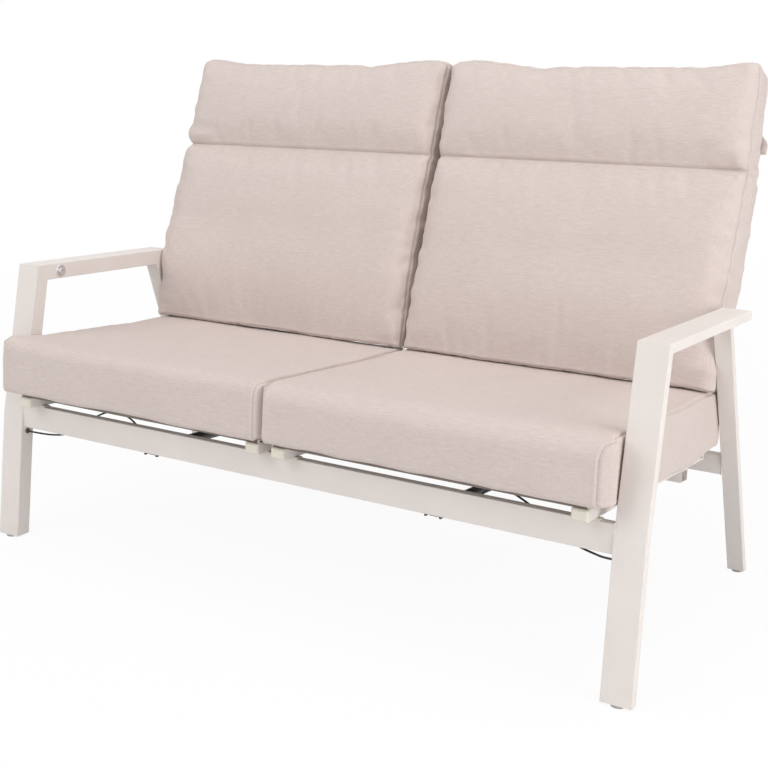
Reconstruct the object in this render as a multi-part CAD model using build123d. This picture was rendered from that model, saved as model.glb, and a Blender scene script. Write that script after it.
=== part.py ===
"""Two-seat patio loveseat with two reclining backs, in millimetres.

X runs along the width, seen from the front with +X to the right, Y runs to the back and Z up.
The right half is modelled and mirrored. Each seat slides forward over the front rail as its own
back reclines, and a gas spring under the seat holds it until the button in the arm is pressed.
Side views are drawn from the top front corner of the arm, and the finished set is then moved so
that the middle of its footprint is the origin.
"""
from build123d import *
from math import cos, pi, radians, sin, sqrt, tan
import os

# Side frames: a bent front post, an arm mitred to it and a splayed rear leg
overall_width = 1560
profile_width = 60
profile_depth_inner = 36
profile_depth_outer = 18
profile_wall = 2
profile_edge_radius = 2
arm_height = 618
arm_behind_leg = 62.5
arm_drop = 22.5
knee_height = 286
knee_forward = 76.5
foot_forward = 117
rear_leg_width = 36
rear_leg_depth_inner = 30
rear_leg_depth_outer = 15
rear_leg_lean_angle = 16.58

# Cross rails between the side frames
rail_depth = 18
rail_wall = 2
rail_edge_radius = 1.5
front_rail_height = 55
front_rail_base = 257.5
front_rail_set_back = 3.5
rear_rail_height = 42
rear_rail_base = 236.5
rear_rail_set_back = 3
rear_rail_behind_seat = 13.137

# Glides, plugs and end caps of the side frames
glide_height = 5
glide_diameter_front = 28
glide_diameter_rear = 22
glide_edge_radius = 1.5
plug_length = 15
plug_clearance = 0.3
end_cap_thickness = 3
end_cap_plug_length = 12

# Seat frame, measured along the seat's slope
seat_slope = 5.1
seat_front_y = -110
seat_half_gap = 16
seat_side_clearance = 33
side_rail_width = 32
side_rail_height = 22
side_rail_wall = 2
rail_behind_cushion = 54
side_rail_radius = 2
rail_cap_thickness = 4
rail_cap_plug_length = 6
rail_cap_chamfer = 3
slide_pad_least = 2
slide_pad_gap = 0.3
slide_pad_length = 44
seat_bar_width = 22
seat_bar_height = 8
seat_bar_front_inset = 6
seat_bar_rear_inset = 40
seat_bar_radius = 1.5
seat_sling_thickness = 3
seat_sling_overhang = 4
seat_sling_margin = 5
cross_tube_rear_inset = 96
cross_tube_width = 34
cross_tube_height = 24
cross_tube_wall = 2

# Back frame, measured up the back's own slope and in depth behind the cushion's front
back_slope = 19.2
back_base_ahead_of_pivot = 54.378
back_base_above_pivot = 67.283
upright_width = 25
upright_depth = 22
upright_wall = 2
upright_radius = 2
upright_below = 74
upright_below_top = 54
back_tube_height = 24
back_tube_shares = (0.05, 0.54)
back_sling_thickness = 1.6
back_sling_bottom = 30

# Recline hinge and the link to the seat
recline_lever = 85
lever_rest_angle = 7
link_pin_diameter = 8
link_slot_height = 13
link_slot_width = 10.6
link_pin_from_end = 16
hinge_plate_thickness = 5
hinge_plate_gap = 4
hinge_boss_radius = 14
link_boss_radius = 10
hinge_plate_grip = 62
small_screw_diameter = 6
small_screw_head = 10
small_screw_head_height = 2.2
hinge_screw_inset = 14
hinge_screw_pitch = 34
pivot_pin_diameter = 10
pivot_head_diameter = 17
pivot_head_height = 3
pivot_spacer_diameter = 16
running_clearance = 0.05
face_clearance = 0.5
bracket_thickness = 6
bracket_gap = 3
bracket_foot_width = 30
bracket_foot_thickness = 5

# Gas spring under each seat
spring_axis_drop = 54
spring_front_pin = 80
spring_tube_diameter = 22
spring_tube_wall = 1.5
spring_tube_cover = 3
spring_tube_start = 112
spring_rod_reach = 117
spring_rod_diameter = 8
spring_piston_length = 10
spring_piston_set_back = 14
spring_pin_diameter = 8
spring_pin_head = 13
spring_pin_head_height = 3
spring_eye_diameter = 20
spring_eye_width = 14
spring_lug_width = 30
spring_lug_plate = 4
spring_lug_gap = 1
spring_head_start = 68
spring_head_width = 26
spring_head_height = 28
spring_head_radius = 3
spring_bracket_plate = 4
spring_bracket_gap = 1
spring_bracket_height = 36
spring_bracket_below = 13
spring_bracket_reach = 14
bracket_screw_drop = 10
bracket_screw_spacing = 16

# Release lever and cable stop on the spring's head
lever_thickness = 4
lever_width = 12
lever_arm = 20
lever_pivot_along = 84
lever_pivot_diameter = 5
lever_lift = 0.5
lever_corner_radius = 3
cable_stop_size = 8
cable_stop_above = 4

# Push button in each arm
button_back = 68
button_ring_diameter = 28
button_ring_height = 2.5
button_barrel_diameter = 18
button_barrel_wall = 2
button_barrel_length = 22
button_diameter = 13.6
button_proud = 4
button_travel = 3.5
button_flange_diameter = 15.2
button_length = 7
button_edge_radius = 1
button_bore_clearance = 0.1
button_dish_depth = 0.8
button_dish_radius = 30
coil_diameter = 12
coil_wire = 1.2

# Release cable, with its route as shares and chosen points, and its grommet in the post
cable_diameter = 4
cable_bend_share = 0.45
cable_seat_depth = 1
grommet_height = 245.5
grommet_back_of_face = 18
grommet_diameter = 12
grommet_flange = 2
grommet_neck_diameter = 8
grommet_clearance = 0.1
cable_upper_shares = (
    (0.3, 0.945),
    (0.35, 0.8),
    (0.433, 0.645),
    (0.5, 0.491),
    (0.517, 0.337),
    (0.483, 0.184),
    (0.433, 0.03),
)
cable_back_of_face = 16
cable_turn_reach = 24
cable_lower_shares = (0.868, 0.77, 0.66, 0.551, 0.442, 0.321, 0.206)
cable_lower_points = ((-38, 236), (-30, 239), (-26, 256), (-24, 281), (-25, 304), (-22, 319), (-14, 306))
cable_last_run = 38

# Seat cushion, and shares of its length, side inset, front spread, rear lift, end drop and crown
cushion_clearance = 0.4
cushion_side_gap = 2
cushion_side_bulge = 3
cushion_side_inset = 14
seat_cushion_overhang = 14
seat_cushion_length = 542
seat_cushion_height = 116
seat_cushion_radius = 16
seat_cushion_spread = 15
seat_cushion_lift = 46
seat_cushion_drop = 18
seat_cushion_crown = 7
seat_cushion_shares = (
    (0, 1, 1, 0.35, 1, 0.3),
    (0.02, 0.07, 0.9, 0.07, 0.22, 0.6),
    (0.055, 0, 1, 0, 0, 0.85),
    (0.092, 0, 0, 0, 0, 0.85),
    (0.52, 0.2, 0, 0, 0, 1),
    (0.89, 0, 0, 0, 0, 0.85),
    (0.976, 0.07, 0, 0.48, 0.17, 0.6),
    (1, 1, 0, 1, 0.9, 0.3),
)

# Back cushion, and shares of its length, side inset, head spread, front inset, rear inset and crown
back_cushion_length = 666
back_cushion_depth = 90
back_cushion_radius = 20
back_cushion_spread = 25
back_cushion_front_inset = 24
back_cushion_rear_inset = 16
back_cushion_crown = 9
back_cushion_shares = (
    (-0.01, 0.5, 0, 1, 0, 0.35),
    (0.068, 0, 0, 0, 0, 0.9),
    (0.268, 0.07, 0, 0, 0, 1),
    (0.334, 0, 0.6, 0, 0, 0.9),
    (0.648, 0, 0.88, 0.08, 0, 0.65),
    (0.676, 0, 1, 0.38, 0, 0.35),
    (0.7, 0, 0.88, 0.08, 0, 0.65),
    (0.962, 0.07, 0.7, 0.25, 0, 0.65),
    (1, 1, 0.7, 0.83, 1, 0.35),
)
hood_thickness = 3
hood_height = 160
hood_below_top = 38
hood_gap = 3
hood_side_inset = 26

# Overruns that only cuts use
cut_overrun = 5
cut_reach = 2000

# Places worked out from the sizes
half_width = overall_width / 2
inner_x = half_width - profile_width
seat_sin = sin(radians(seat_slope))
seat_cos = cos(radians(seat_slope))
side_rail_length = seat_cushion_length - seat_cushion_overhang + rail_behind_cushion
arm_corner = Vector(0, 0, arm_height)
knee_point = Vector(0, -knee_forward, knee_height)
foot_point = Vector(0, -foot_forward, 0)
front_rail_front = front_rail_set_back - knee_forward
front_rail_back = front_rail_front + rail_depth
front_rail_top = front_rail_base + front_rail_height
rear_rail_middle = rear_rail_base + rear_rail_height / 2
rear_rail_top = rear_rail_base + rear_rail_height
rear_rail_front = seat_front_y + side_rail_length * seat_cos + rear_rail_behind_seat
rear_rail_back = rear_rail_front + rail_depth
rear_leg_slope = tan(radians(rear_leg_lean_angle))
rear_leg_foot = Vector(0, rear_rail_front - rear_rail_set_back + rear_rail_middle * rear_leg_slope, 0)
rear_leg_top = rear_leg_foot + Vector(0, -rear_leg_slope, 1) * arm_height
arm_length = rear_leg_top.Y + arm_behind_leg
arm_end_point = Vector(0, arm_length, arm_height - arm_drop)

seat_rise = (front_rail_back - seat_front_y) * tan(radians(seat_slope))
seat_base_z = front_rail_top + slide_pad_least + slide_pad_gap + seat_rise
seat_plane = Plane(origin=(0, seat_front_y, seat_base_z), x_dir=(1, 0, 0), z_dir=(0, seat_sin, seat_cos))
seat_inner_x = seat_half_gap
seat_outer_x = inner_x - seat_side_clearance
seat_middle_x = (seat_inner_x + seat_outer_x) / 2
sling_base = side_rail_height + seat_bar_height
cushion_base = sling_base + seat_sling_thickness + cushion_clearance
cushion_inner_x = cushion_side_gap / 2
cushion_outer_x = inner_x - cushion_side_gap

back_sin = sin(radians(back_slope))
back_cos = cos(radians(back_slope))
back_frame_front = back_cushion_depth + cushion_clearance + back_sling_thickness
back_frame_back = back_frame_front + upright_depth
upright_above = back_cushion_length - upright_below_top
hood_top = back_cushion_length - hood_below_top
hood_low = hood_top - hood_height


def seat_point(x, along, up):
    """World point from the seat frame's own directions."""
    return seat_plane.from_local_coords(Vector(x, along, up))


# The lever plate hangs from the pivot, and its pin pushes the side rails forward
link_along = side_rail_length - link_pin_from_end
link_up = side_rail_height / 2
link_point = seat_point(0, link_along, link_up)
lever_angle = radians(lever_rest_angle)
pivot_point = link_point + Vector(0, -sin(lever_angle), cos(lever_angle)) * recline_lever
back_base = pivot_point + Vector(0, -back_base_ahead_of_pivot, back_base_above_pivot)
back_plane = Plane(origin=back_base, x_dir=(1, 0, 0), z_dir=(0, back_sin, back_cos))


def back_point(x, depth, up):
    """World point from the back frame's own directions."""
    return back_plane.from_local_coords(Vector(x, depth, up))


def block(plane, x_range, y_range, z_range, radius=0.0):
    """Box between three ranges of a plane's own coordinates, with its longest edges rounded."""
    ranges = (x_range, y_range, z_range)
    sizes = [high - low for low, high in ranges]
    middle = [(low + high) / 2 for low, high in ranges]
    solid = Box(*sizes)
    if radius:
        longest = (Axis.X, Axis.Y, Axis.Z)[sizes.index(max(sizes))]
        solid = fillet(solid.edges().filter_by(longest), radius)
    return plane.location * Pos(*middle) * solid


def tube_block(plane, x_range, y_range, z_range, wall, radius):
    """Rectangular tube, open at the two ends of its longest side."""
    ranges = (x_range, y_range, z_range)
    sizes = [high - low for low, high in ranges]
    longest = sizes.index(max(sizes))
    inner = []
    for axis, (low, high) in enumerate(ranges):
        margin = -cut_overrun if axis == longest else wall
        inner.append((low + margin, high - margin))
    return block(plane, *ranges, radius=radius) - block(plane, *inner)


def rod_between(start, end, diameter):
    """Round bar from one world point to another."""
    direction = end - start
    plane = Plane(origin=start, z_dir=direction)
    return extrude(plane * Circle(diameter / 2), amount=direction.length)


def cross_bar(x_start, x_end, point, diameter):
    """Round bar along X through a point of the side view."""
    return rod_between(Vector(x_start, point.Y, point.Z), Vector(x_end, point.Y, point.Z), diameter)


def side_plate(points, radii, x_start, thickness):
    """Plate in the side view: the hull of round bosses, from x_start towards +X."""
    bosses = [Pos(point.Y, point.Z) * Circle(radius) for point, radius in zip(points, radii)]
    outline = make_hull([edge for boss in bosses for edge in boss.edges()])
    return extrude(Plane.YZ.offset(x_start) * outline, amount=thickness, dir=(1, 0, 0))


def half_space(origin, normal):
    """Very large block on the far side of a plane, used only as a cutter."""
    plane = Plane(origin=origin, z_dir=normal)
    return plane.location * Pos(0, 0, cut_reach / 2) * Box(cut_reach, cut_reach, cut_reach)


def wedge_outline(sizes, inset, radius):
    """Section of a frame profile: a flat face at depth 0 and a slanted one that thins to the outer edge."""
    width, depth_inner, depth_outer = sizes
    outer_x = inner_x + width
    points = [(inner_x, 0), (outer_x, 0), (outer_x, depth_outer), (inner_x, depth_inner)]
    outline = make_face(Polyline(*points, close=True))
    if inset:
        return offset(outline, amount=-inset, kind=Kind.INTERSECTION)
    return fillet(outline.vertices(), radius) if radius else outline


def wedge_bar(start, end, sizes, inset=0.0, radius=0.0):
    """Frame profile drawn straight from start to end; its flat face holds both points."""
    direction = end - start
    plane = Plane(origin=start, x_dir=(1, 0, 0), z_dir=direction)
    outline = plane * wedge_outline(sizes, inset, radius)
    return extrude(outline, amount=direction.length, dir=direction.normalized())


def wedge_tube(start, end, sizes):
    """Hollow frame profile with rounded outer edges."""
    outer = wedge_bar(start, end, sizes, radius=profile_edge_radius)
    return outer - wedge_bar(start, end, sizes, inset=profile_wall)


def beyond(start, end, extra):
    """Point past the end of a line, so that a later cut finishes the bar."""
    return end + (end - start).normalized() * extra


def mirrored(solid):
    """The same piece for the left half."""
    return mirror(solid, about=Plane.YZ)


def swapped(solid):
    """The same piece on the other side of its seat's middle."""
    return Pos(seat_middle_x * 2, 0, 0) * mirrored(solid)


nodes = {}


def keep(name, *solids):
    """Keep one node, as one solid or a group of separate solids."""
    nodes[name] = list(solids)


def keep_pair(name, *solids):
    """Keep a right node and its mirrored left node."""
    keep(name + "_right", *solids)
    keep(name + "_left", *[mirrored(solid) for solid in solids])


def keep_both_sides(name, *solids):
    """Keep one node that holds the pieces of both halves."""
    keep(name, *solids, *[mirrored(solid) for solid in solids])


# Side frames
frame_sizes = (profile_width, profile_depth_inner, profile_depth_outer)
leg_sizes = (rear_leg_width, rear_leg_depth_inner, rear_leg_depth_outer)
upper_direction = (arm_corner - knee_point).normalized()
lower_direction = (knee_point - foot_point).normalized()
arm_direction = (arm_end_point - arm_corner).normalized()
leg_direction = (rear_leg_top - rear_leg_foot).normalized()
knee_normal = upper_direction + lower_direction
mitre_normal = upper_direction + arm_direction
spare_length = profile_depth_inner * 2
floor_cut = half_space(Vector(0, 0, glide_height), Vector(0, 0, -1))


def front_post_solid():
    """Bent front post, from its glide to the mitre under the arm."""
    lower_start = beyond(knee_point, foot_point, spare_length)
    lower_end = beyond(foot_point, knee_point, spare_length)
    upper_start = beyond(arm_corner, knee_point, spare_length)
    upper_end = beyond(knee_point, arm_corner, spare_length)
    lower = wedge_tube(lower_start, lower_end, frame_sizes) - half_space(knee_point, knee_normal)
    upper = wedge_tube(upper_start, upper_end, frame_sizes) - half_space(knee_point, -knee_normal)
    return (lower - floor_cut) + (upper - half_space(arm_corner, mitre_normal))


arm_tube_end = arm_end_point - arm_direction * end_cap_thickness
arm_start = beyond(arm_tube_end, arm_corner, spare_length)
arm = wedge_tube(arm_start, arm_tube_end, frame_sizes) - half_space(arm_corner, -mitre_normal)


def rear_leg_solid():
    """Rear leg, cut to the slanted underside of the arm."""
    arm_normal = Vector(0, -arm_direction.Z, arm_direction.Y)
    inside_arm = arm_corner - arm_normal * (profile_depth_outer / 2)
    start = beyond(rear_leg_top, rear_leg_foot, spare_length)
    end = beyond(rear_leg_foot, rear_leg_top, spare_length)
    leg = wedge_tube(start, end, leg_sizes) - floor_cut - half_space(inside_arm, arm_normal)
    return leg - wedge_bar(arm_start, arm_tube_end, frame_sizes, radius=profile_edge_radius)


def glide(foot, direction, sizes, diameter):
    """Round glide under a leg, with the plug that holds it in the tube."""
    width, depth_inner, depth_outer = sizes
    middle_y = foot.Y + direction.Y / direction.Z * glide_height + (depth_inner + depth_outer) / 4
    disc = Pos(inner_x + width / 2, middle_y, glide_height / 2) * Cylinder(diameter / 2, glide_height)
    disc = fillet(disc.edges().group_by(Axis.Z)[0], glide_edge_radius)
    start = foot - direction * spare_length
    end = foot + direction * (plug_length / direction.Z)
    return disc + (wedge_bar(start, end, sizes, inset=profile_wall + plug_clearance) - floor_cut)


def arm_cap_solid():
    """Plate that closes the arm's rear end, with its plug inside the tube."""
    plate = wedge_bar(arm_tube_end, arm_end_point, frame_sizes, radius=profile_edge_radius)
    plug_start = arm_tube_end - arm_direction * end_cap_plug_length
    return plate + wedge_bar(plug_start, arm_tube_end, frame_sizes, inset=profile_wall + plug_clearance)


def cross_rail(y_range, z_range):
    """Rail across the set between the inner faces of the side frames."""
    return tube_block(Plane.XY, (-inner_x, inner_x), y_range, z_range, rail_wall, rail_edge_radius)


front_rail = cross_rail((front_rail_front, front_rail_back), (front_rail_base, front_rail_top))
rear_rail = cross_rail((rear_rail_front, rear_rail_back), (rear_rail_base, rear_rail_top))

# Seat frame
inner_rail_x = (seat_inner_x, seat_inner_x + side_rail_width)
outer_rail_x = (seat_outer_x - side_rail_width, seat_outer_x)
seat_span = (seat_inner_x, seat_outer_x)
rear_bar_along = side_rail_length - seat_bar_rear_inset - seat_bar_width
cross_tube_along = side_rail_length - cross_tube_rear_inset - cross_tube_width
spring_rear_pin = cross_tube_along + cross_tube_width / 2


def side_rail(x_range):
    """Hollow side rail with the link slot through both walls near its back end."""
    along = (rail_cap_thickness, side_rail_length - rail_cap_thickness)
    tube = tube_block(seat_plane, x_range, along, (0, side_rail_height), side_rail_wall, side_rail_radius)
    outline = Plane.YZ * SlotOverall(link_slot_height, link_slot_width, rotation=90)
    slot = extrude(outline, amount=side_rail_width + cut_overrun * 2, dir=(1, 0, 0))
    return tube - seat_plane.location * Pos(x_range[0] - cut_overrun, link_along, link_up) * slot


def rail_cap(x_range, along, direction):
    """Cap on a side rail's end, chamfered all round, with its plug inside the tube."""
    width = x_range[1] - x_range[0]
    plate = Box(width, rail_cap_thickness, side_rail_height)
    outer_face = plate.faces().sort_by(Axis.Y)[0 if direction > 0 else -1]
    plate = chamfer(outer_face.edges(), rail_cap_chamfer)
    inset = (side_rail_wall + plug_clearance) * 2
    plug = Box(width - inset, rail_cap_plug_length, side_rail_height - inset)
    plug = Pos(0, direction * (rail_cap_thickness + rail_cap_plug_length) / 2, 0) * plug
    middle_x = (x_range[0] + x_range[1]) / 2
    place = Pos(middle_x, along + direction * rail_cap_thickness / 2, side_rail_height / 2)
    return seat_plane.location * place * (plate + plug)


def seat_bar(along):
    """Flat bar across the side rails."""
    y_range = (along, along + seat_bar_width)
    z_range = (side_rail_height, sling_base)
    return tube_block(seat_plane, seat_span, y_range, z_range, side_rail_wall, seat_bar_radius)


def slide_pad(x_range):
    """Pad on the front rail, its top parallel with the underside of the side rail."""
    middle_x = (x_range[0] + x_range[1]) / 2
    pad_x = (middle_x - slide_pad_length / 2, middle_x + slide_pad_length / 2)
    pad_z = (front_rail_top, front_rail_top + side_rail_height)
    pad = block(Plane.XY, pad_x, (front_rail_front, front_rail_back), pad_z)
    return pad - half_space(seat_point(0, 0, -slide_pad_gap), Vector(0, seat_sin, seat_cos))


def seat_sling_solid():
    """Mesh sling stretched over the two bars."""
    x_range = (seat_inner_x + seat_sling_margin, seat_outer_x - seat_sling_margin)
    front = seat_bar_front_inset - seat_sling_overhang
    back = rear_bar_along + seat_bar_width + seat_sling_overhang
    return block(seat_plane, x_range, (front, back), (sling_base, sling_base + seat_sling_thickness))


# Recline hinge, with its places across the seat
plate_x = seat_outer_x - side_rail_width - hinge_plate_gap - hinge_plate_thickness
plate_end_x = plate_x + hinge_plate_thickness
upright_x = plate_x - upright_width
bracket_x = upright_x - bracket_gap - bracket_thickness
bracket_end_x = bracket_x + bracket_thickness
upright_middle = (back_frame_front + back_frame_back) / 2
screw_ups = (hinge_screw_inset - upright_below, hinge_screw_inset + hinge_screw_pitch - upright_below)
screw_points = [back_point(0, upright_middle, up) for up in screw_ups]


def screwed(solid):
    """Solid with the holes of the hinge screws in it."""
    for point in screw_points:
        solid -= cross_bar(upright_x - cut_overrun, plate_end_x + cut_overrun, point, small_screw_diameter)
    return solid


def hinge_plate_solid():
    """Lever plate of one upright, with the link pin welded to it."""
    low = back_point(0, upright_middle, upright_depth / 2 - upright_below)
    high = back_point(0, upright_middle, hinge_plate_grip - upright_below)
    grip_radii = [hinge_boss_radius, upright_depth / 2, upright_depth / 2]
    plate = side_plate([pivot_point, low, high], grip_radii, plate_x, hinge_plate_thickness)
    lever_radii = [hinge_boss_radius, link_boss_radius]
    plate += side_plate([pivot_point, link_point], lever_radii, plate_x, hinge_plate_thickness)
    bore_diameter = pivot_pin_diameter + running_clearance * 2
    plate -= cross_bar(plate_x - cut_overrun, plate_end_x + cut_overrun, pivot_point, bore_diameter)
    pin_end = seat_outer_x - side_rail_wall / 2
    return screwed(plate) + cross_bar(plate_x, pin_end, link_point, link_pin_diameter)


def hinge_screw(point):
    """Screw with two low heads that fastens the lever plate through the upright."""
    screw = cross_bar(upright_x, plate_end_x, point, small_screw_diameter)
    screw += cross_bar(upright_x - small_screw_head_height, upright_x, point, small_screw_head)
    return screw + cross_bar(plate_end_x, plate_end_x + small_screw_head_height, point, small_screw_head)


def pivot_pin_solid():
    """Shoulder pin through the bracket and the lever plate, with its spacer between them."""
    pin_end = plate_end_x + face_clearance
    pin = cross_bar(bracket_x, pin_end, pivot_point, pivot_pin_diameter)
    pin += cross_bar(bracket_x - pivot_head_height, bracket_x, pivot_point, pivot_head_diameter)
    pin += cross_bar(bracket_end_x, plate_x - face_clearance, pivot_point, pivot_spacer_diameter)
    return pin + cross_bar(pin_end, pin_end + pivot_head_height, pivot_point, pivot_head_diameter)


def foot_screw(with_head=True):
    """Screw that holds a recline bracket's foot down on the rear rail."""
    x = bracket_x - (bracket_foot_width - bracket_thickness) / 2
    y = (rear_rail_front + rear_rail_back) / 2
    face = Vector(x, y, rear_rail_top + bracket_foot_thickness)
    screw = rod_between(Vector(x, y, rear_rail_top - rail_wall), face, small_screw_diameter)
    if with_head:
        screw += rod_between(face, face + Vector(0, 0, small_screw_head_height), small_screw_head)
    return screw


def recline_bracket_solid():
    """Plate that stands on the rear rail and carries the pivot, with its foot."""
    foot_top = rear_rail_top + bracket_foot_thickness
    low_front = Vector(0, rear_rail_front + bracket_foot_thickness, foot_top)
    low_back = Vector(0, rear_rail_back - bracket_foot_thickness, foot_top)
    radii = [hinge_boss_radius, bracket_foot_thickness, bracket_foot_thickness]
    bracket = side_plate([pivot_point, low_front, low_back], radii, bracket_x, bracket_thickness)
    foot_x = (bracket_end_x - bracket_foot_width, bracket_end_x)
    bracket += block(Plane.XY, foot_x, (rear_rail_front, rear_rail_back), (rear_rail_top, foot_top))
    bore_x = (bracket_x - cut_overrun, bracket_end_x + cut_overrun)
    return bracket - cross_bar(*bore_x, pivot_point, pivot_pin_diameter) - foot_screw(with_head=False)


foot_hole = foot_screw(with_head=False)
for hole in (foot_hole, swapped(foot_hole)):
    rear_rail = rear_rail - hole - mirrored(hole)

# Back frame
frame_depths = (back_frame_front, back_frame_back)
far_upright_x = seat_middle_x * 2 - upright_x - upright_width


def upright_solid():
    """Upright of the back frame, with the holes of the hinge screws."""
    x_range = (upright_x, upright_x + upright_width)
    up_range = (-upright_below, upright_above)
    return screwed(tube_block(back_plane, x_range, frame_depths, up_range, upright_wall, upright_radius))


def back_tube(up):
    """Cross tube of the back frame between its uprights."""
    x_range = (far_upright_x + upright_width, upright_x)
    up_range = (up, up + back_tube_height)
    return tube_block(back_plane, x_range, frame_depths, up_range, upright_wall, upright_radius)


def back_sling_solid():
    """Mesh sling over the front of the back frame."""
    x_range = (far_upright_x, upright_x + upright_width)
    depths = (back_frame_front - back_sling_thickness, back_frame_front)
    return block(back_plane, x_range, depths, (back_sling_bottom, upright_above))


# Gas spring: cylinder and release head on the front rail, rod on the seat's cross tube
spring_x = seat_middle_x
axis_up = -spring_axis_drop
tube_end_along = spring_rear_pin - spring_rod_reach
spring_bore = spring_tube_diameter - spring_tube_wall * 2


def on_axis(along):
    """World point on the gas spring's axis."""
    return seat_point(spring_x, along, axis_up)


def axis_rod(start, end, diameter):
    """Round bar along the gas spring's axis."""
    return rod_between(on_axis(start), on_axis(end), diameter)


def across_pin(along, half_length, diameter):
    """Cross bar through the spring's axis, as long on both sides."""
    return cross_bar(spring_x - half_length, spring_x + half_length, on_axis(along), diameter)


def headed_pin(along, half_length):
    """Clevis pin through the spring's axis, with a flat head towards the arm."""
    end_x = spring_x + half_length
    head = cross_bar(end_x, end_x + spring_pin_head_height, on_axis(along), spring_pin_head)
    return across_pin(along, half_length, spring_pin_diameter) + head


def cylinder_solid():
    """Closed cylinder with the rod's bore in its back cover."""
    solid = axis_rod(spring_tube_start, tube_end_along, spring_tube_diameter)
    solid -= axis_rod(spring_tube_start + spring_tube_cover, tube_end_along - spring_tube_cover, spring_bore)
    rod_bore = spring_rod_diameter + running_clearance * 2
    return solid - axis_rod(tube_end_along - spring_tube_cover * 2, tube_end_along + cut_overrun, rod_bore)


head_half = spring_head_width / 2
head_up = (axis_up - spring_head_height / 2, axis_up + spring_head_height / 2)
lever_low = head_up[1] + lever_lift
lever_high = lever_low + lever_thickness
lever_tip_along = lever_pivot_along + lever_arm
lever_foot = seat_point(spring_x, lever_pivot_along, head_up[1])
cable_up = (lever_low + lever_high) / 2
cable_stop_x = (spring_x + head_half, spring_x + head_half + cable_stop_size)


def release_head_solid():
    """Block on the spring's front end, with the lever's pivot post and the cable's stop."""
    head_x = (spring_x - head_half, spring_x + head_half)
    head = block(seat_plane, head_x, (spring_head_start, spring_tube_start), head_up, spring_head_radius)
    head -= across_pin(spring_front_pin, spring_head_width, spring_pin_diameter)
    stop_along = (lever_tip_along - cable_stop_size / 2, lever_tip_along + cable_stop_size / 2)
    stop_up = (head_up[0] + spring_head_radius, cable_up + cable_stop_above)
    head += block(seat_plane, cable_stop_x, stop_along, stop_up)
    post_top = seat_point(spring_x, lever_pivot_along, lever_high + lever_lift)
    return head + rod_between(lever_foot, post_top, lever_pivot_diameter)


def release_lever_solid():
    """Lever on the head's top; the cable pulls its back end towards the arm."""
    half = lever_width / 2
    along = (lever_pivot_along - half, lever_tip_along + half)
    lever = Box(lever_width, along[1] - along[0], lever_thickness)
    lever = fillet(lever.edges().filter_by(Axis.Z), lever_corner_radius)
    place = Pos(spring_x, (along[0] + along[1]) / 2, (lever_low + lever_high) / 2)
    bore_end = seat_point(spring_x, lever_pivot_along, lever_high + cut_overrun)
    bore = rod_between(lever_foot, bore_end, lever_pivot_diameter + running_clearance * 2)
    return seat_plane.location * place * lever - bore


def spring_rod_solid():
    """Piston, rod and eye of the gas spring."""
    start = tube_end_along - spring_piston_set_back - spring_piston_length
    rod = axis_rod(start, spring_rear_pin - spring_pin_diameter / 2, spring_rod_diameter)
    rod += axis_rod(start, start + spring_piston_length, spring_bore - running_clearance * 2)
    rod += across_pin(spring_rear_pin, spring_eye_width / 2, spring_eye_diameter)
    return rod - across_pin(spring_rear_pin, spring_eye_width, spring_pin_diameter)


lug_inner = spring_eye_width / 2 + spring_lug_gap
lug_outer = lug_inner + spring_lug_plate


def cross_tube_solid():
    """Tube under the side rails, with the fork that holds the rod's eye."""
    along = (cross_tube_along, cross_tube_along + cross_tube_width)
    up = (-cross_tube_height, 0)
    tube = tube_block(seat_plane, seat_span, along, up, cross_tube_wall, side_rail_radius)
    lug_along = (spring_rear_pin - spring_lug_width / 2, spring_rear_pin + spring_lug_width / 2)
    lug_up = (axis_up - spring_eye_diameter / 2, -cross_tube_height)
    bore = across_pin(spring_rear_pin, lug_outer + cut_overrun, spring_pin_diameter)
    lugs_x = ((spring_x + lug_inner, spring_x + lug_outer), (spring_x - lug_outer, spring_x - lug_inner))
    for lug_x in lugs_x:
        tube += block(seat_plane, lug_x, lug_along, lug_up) - bore
    return tube


cheek_inner = head_half + spring_bracket_gap
cheek_outer = cheek_inner + spring_bracket_plate
bracket_low_z = on_axis(spring_front_pin).Z - spring_bracket_below
bracket_high_z = bracket_low_z + spring_bracket_height


def bracket_screw(x, with_head=True):
    """Screw from the spring bracket's web into the back wall of the front rail."""
    z = bracket_high_z - bracket_screw_drop
    face = Vector(x, front_rail_back + spring_bracket_plate, z)
    screw = rod_between(Vector(x, front_rail_back - rail_wall, z), face, small_screw_diameter)
    if with_head:
        screw += rod_between(face, face + Vector(0, small_screw_head_height, 0), small_screw_head)
    return screw


screw_xs = (spring_x - bracket_screw_spacing / 2, spring_x + bracket_screw_spacing / 2)
screw_holes = [bracket_screw(x, with_head=False) for x in screw_xs]
for hole in screw_holes:
    front_rail = front_rail - hole - mirrored(hole)


def spring_bracket_solid():
    """Folded bracket behind the front rail: a web on the rail and two cheeks for the pin."""
    web_x = (spring_x - cheek_outer, spring_x + cheek_outer)
    web_y = (front_rail_back, front_rail_back + spring_bracket_plate)
    solid = block(Plane.XY, web_x, web_y, (front_rail_base + spring_bracket_gap, bracket_high_z))
    cheek_y = (front_rail_back, on_axis(spring_front_pin).Y + spring_bracket_reach)
    for cheek_x in ((spring_x + cheek_inner, web_x[1]), (web_x[0], spring_x - cheek_inner)):
        solid += block(Plane.XY, cheek_x, cheek_y, (bracket_low_z, bracket_high_z))
    solid -= across_pin(spring_front_pin, cheek_outer + cut_overrun, spring_pin_diameter)
    return solid - screw_holes[0] - screw_holes[1]


# Push button, its housing and its return coil inside the arm
button_z = arm_height - arm_drop / arm_length * button_back - profile_depth_inner / 2
button_point = Vector(inner_x, button_back, button_z)
coil_end = button_barrel_length - button_barrel_wall
flange_start = button_ring_height + button_bore_clearance
flange_end = flange_start + button_length


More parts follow.
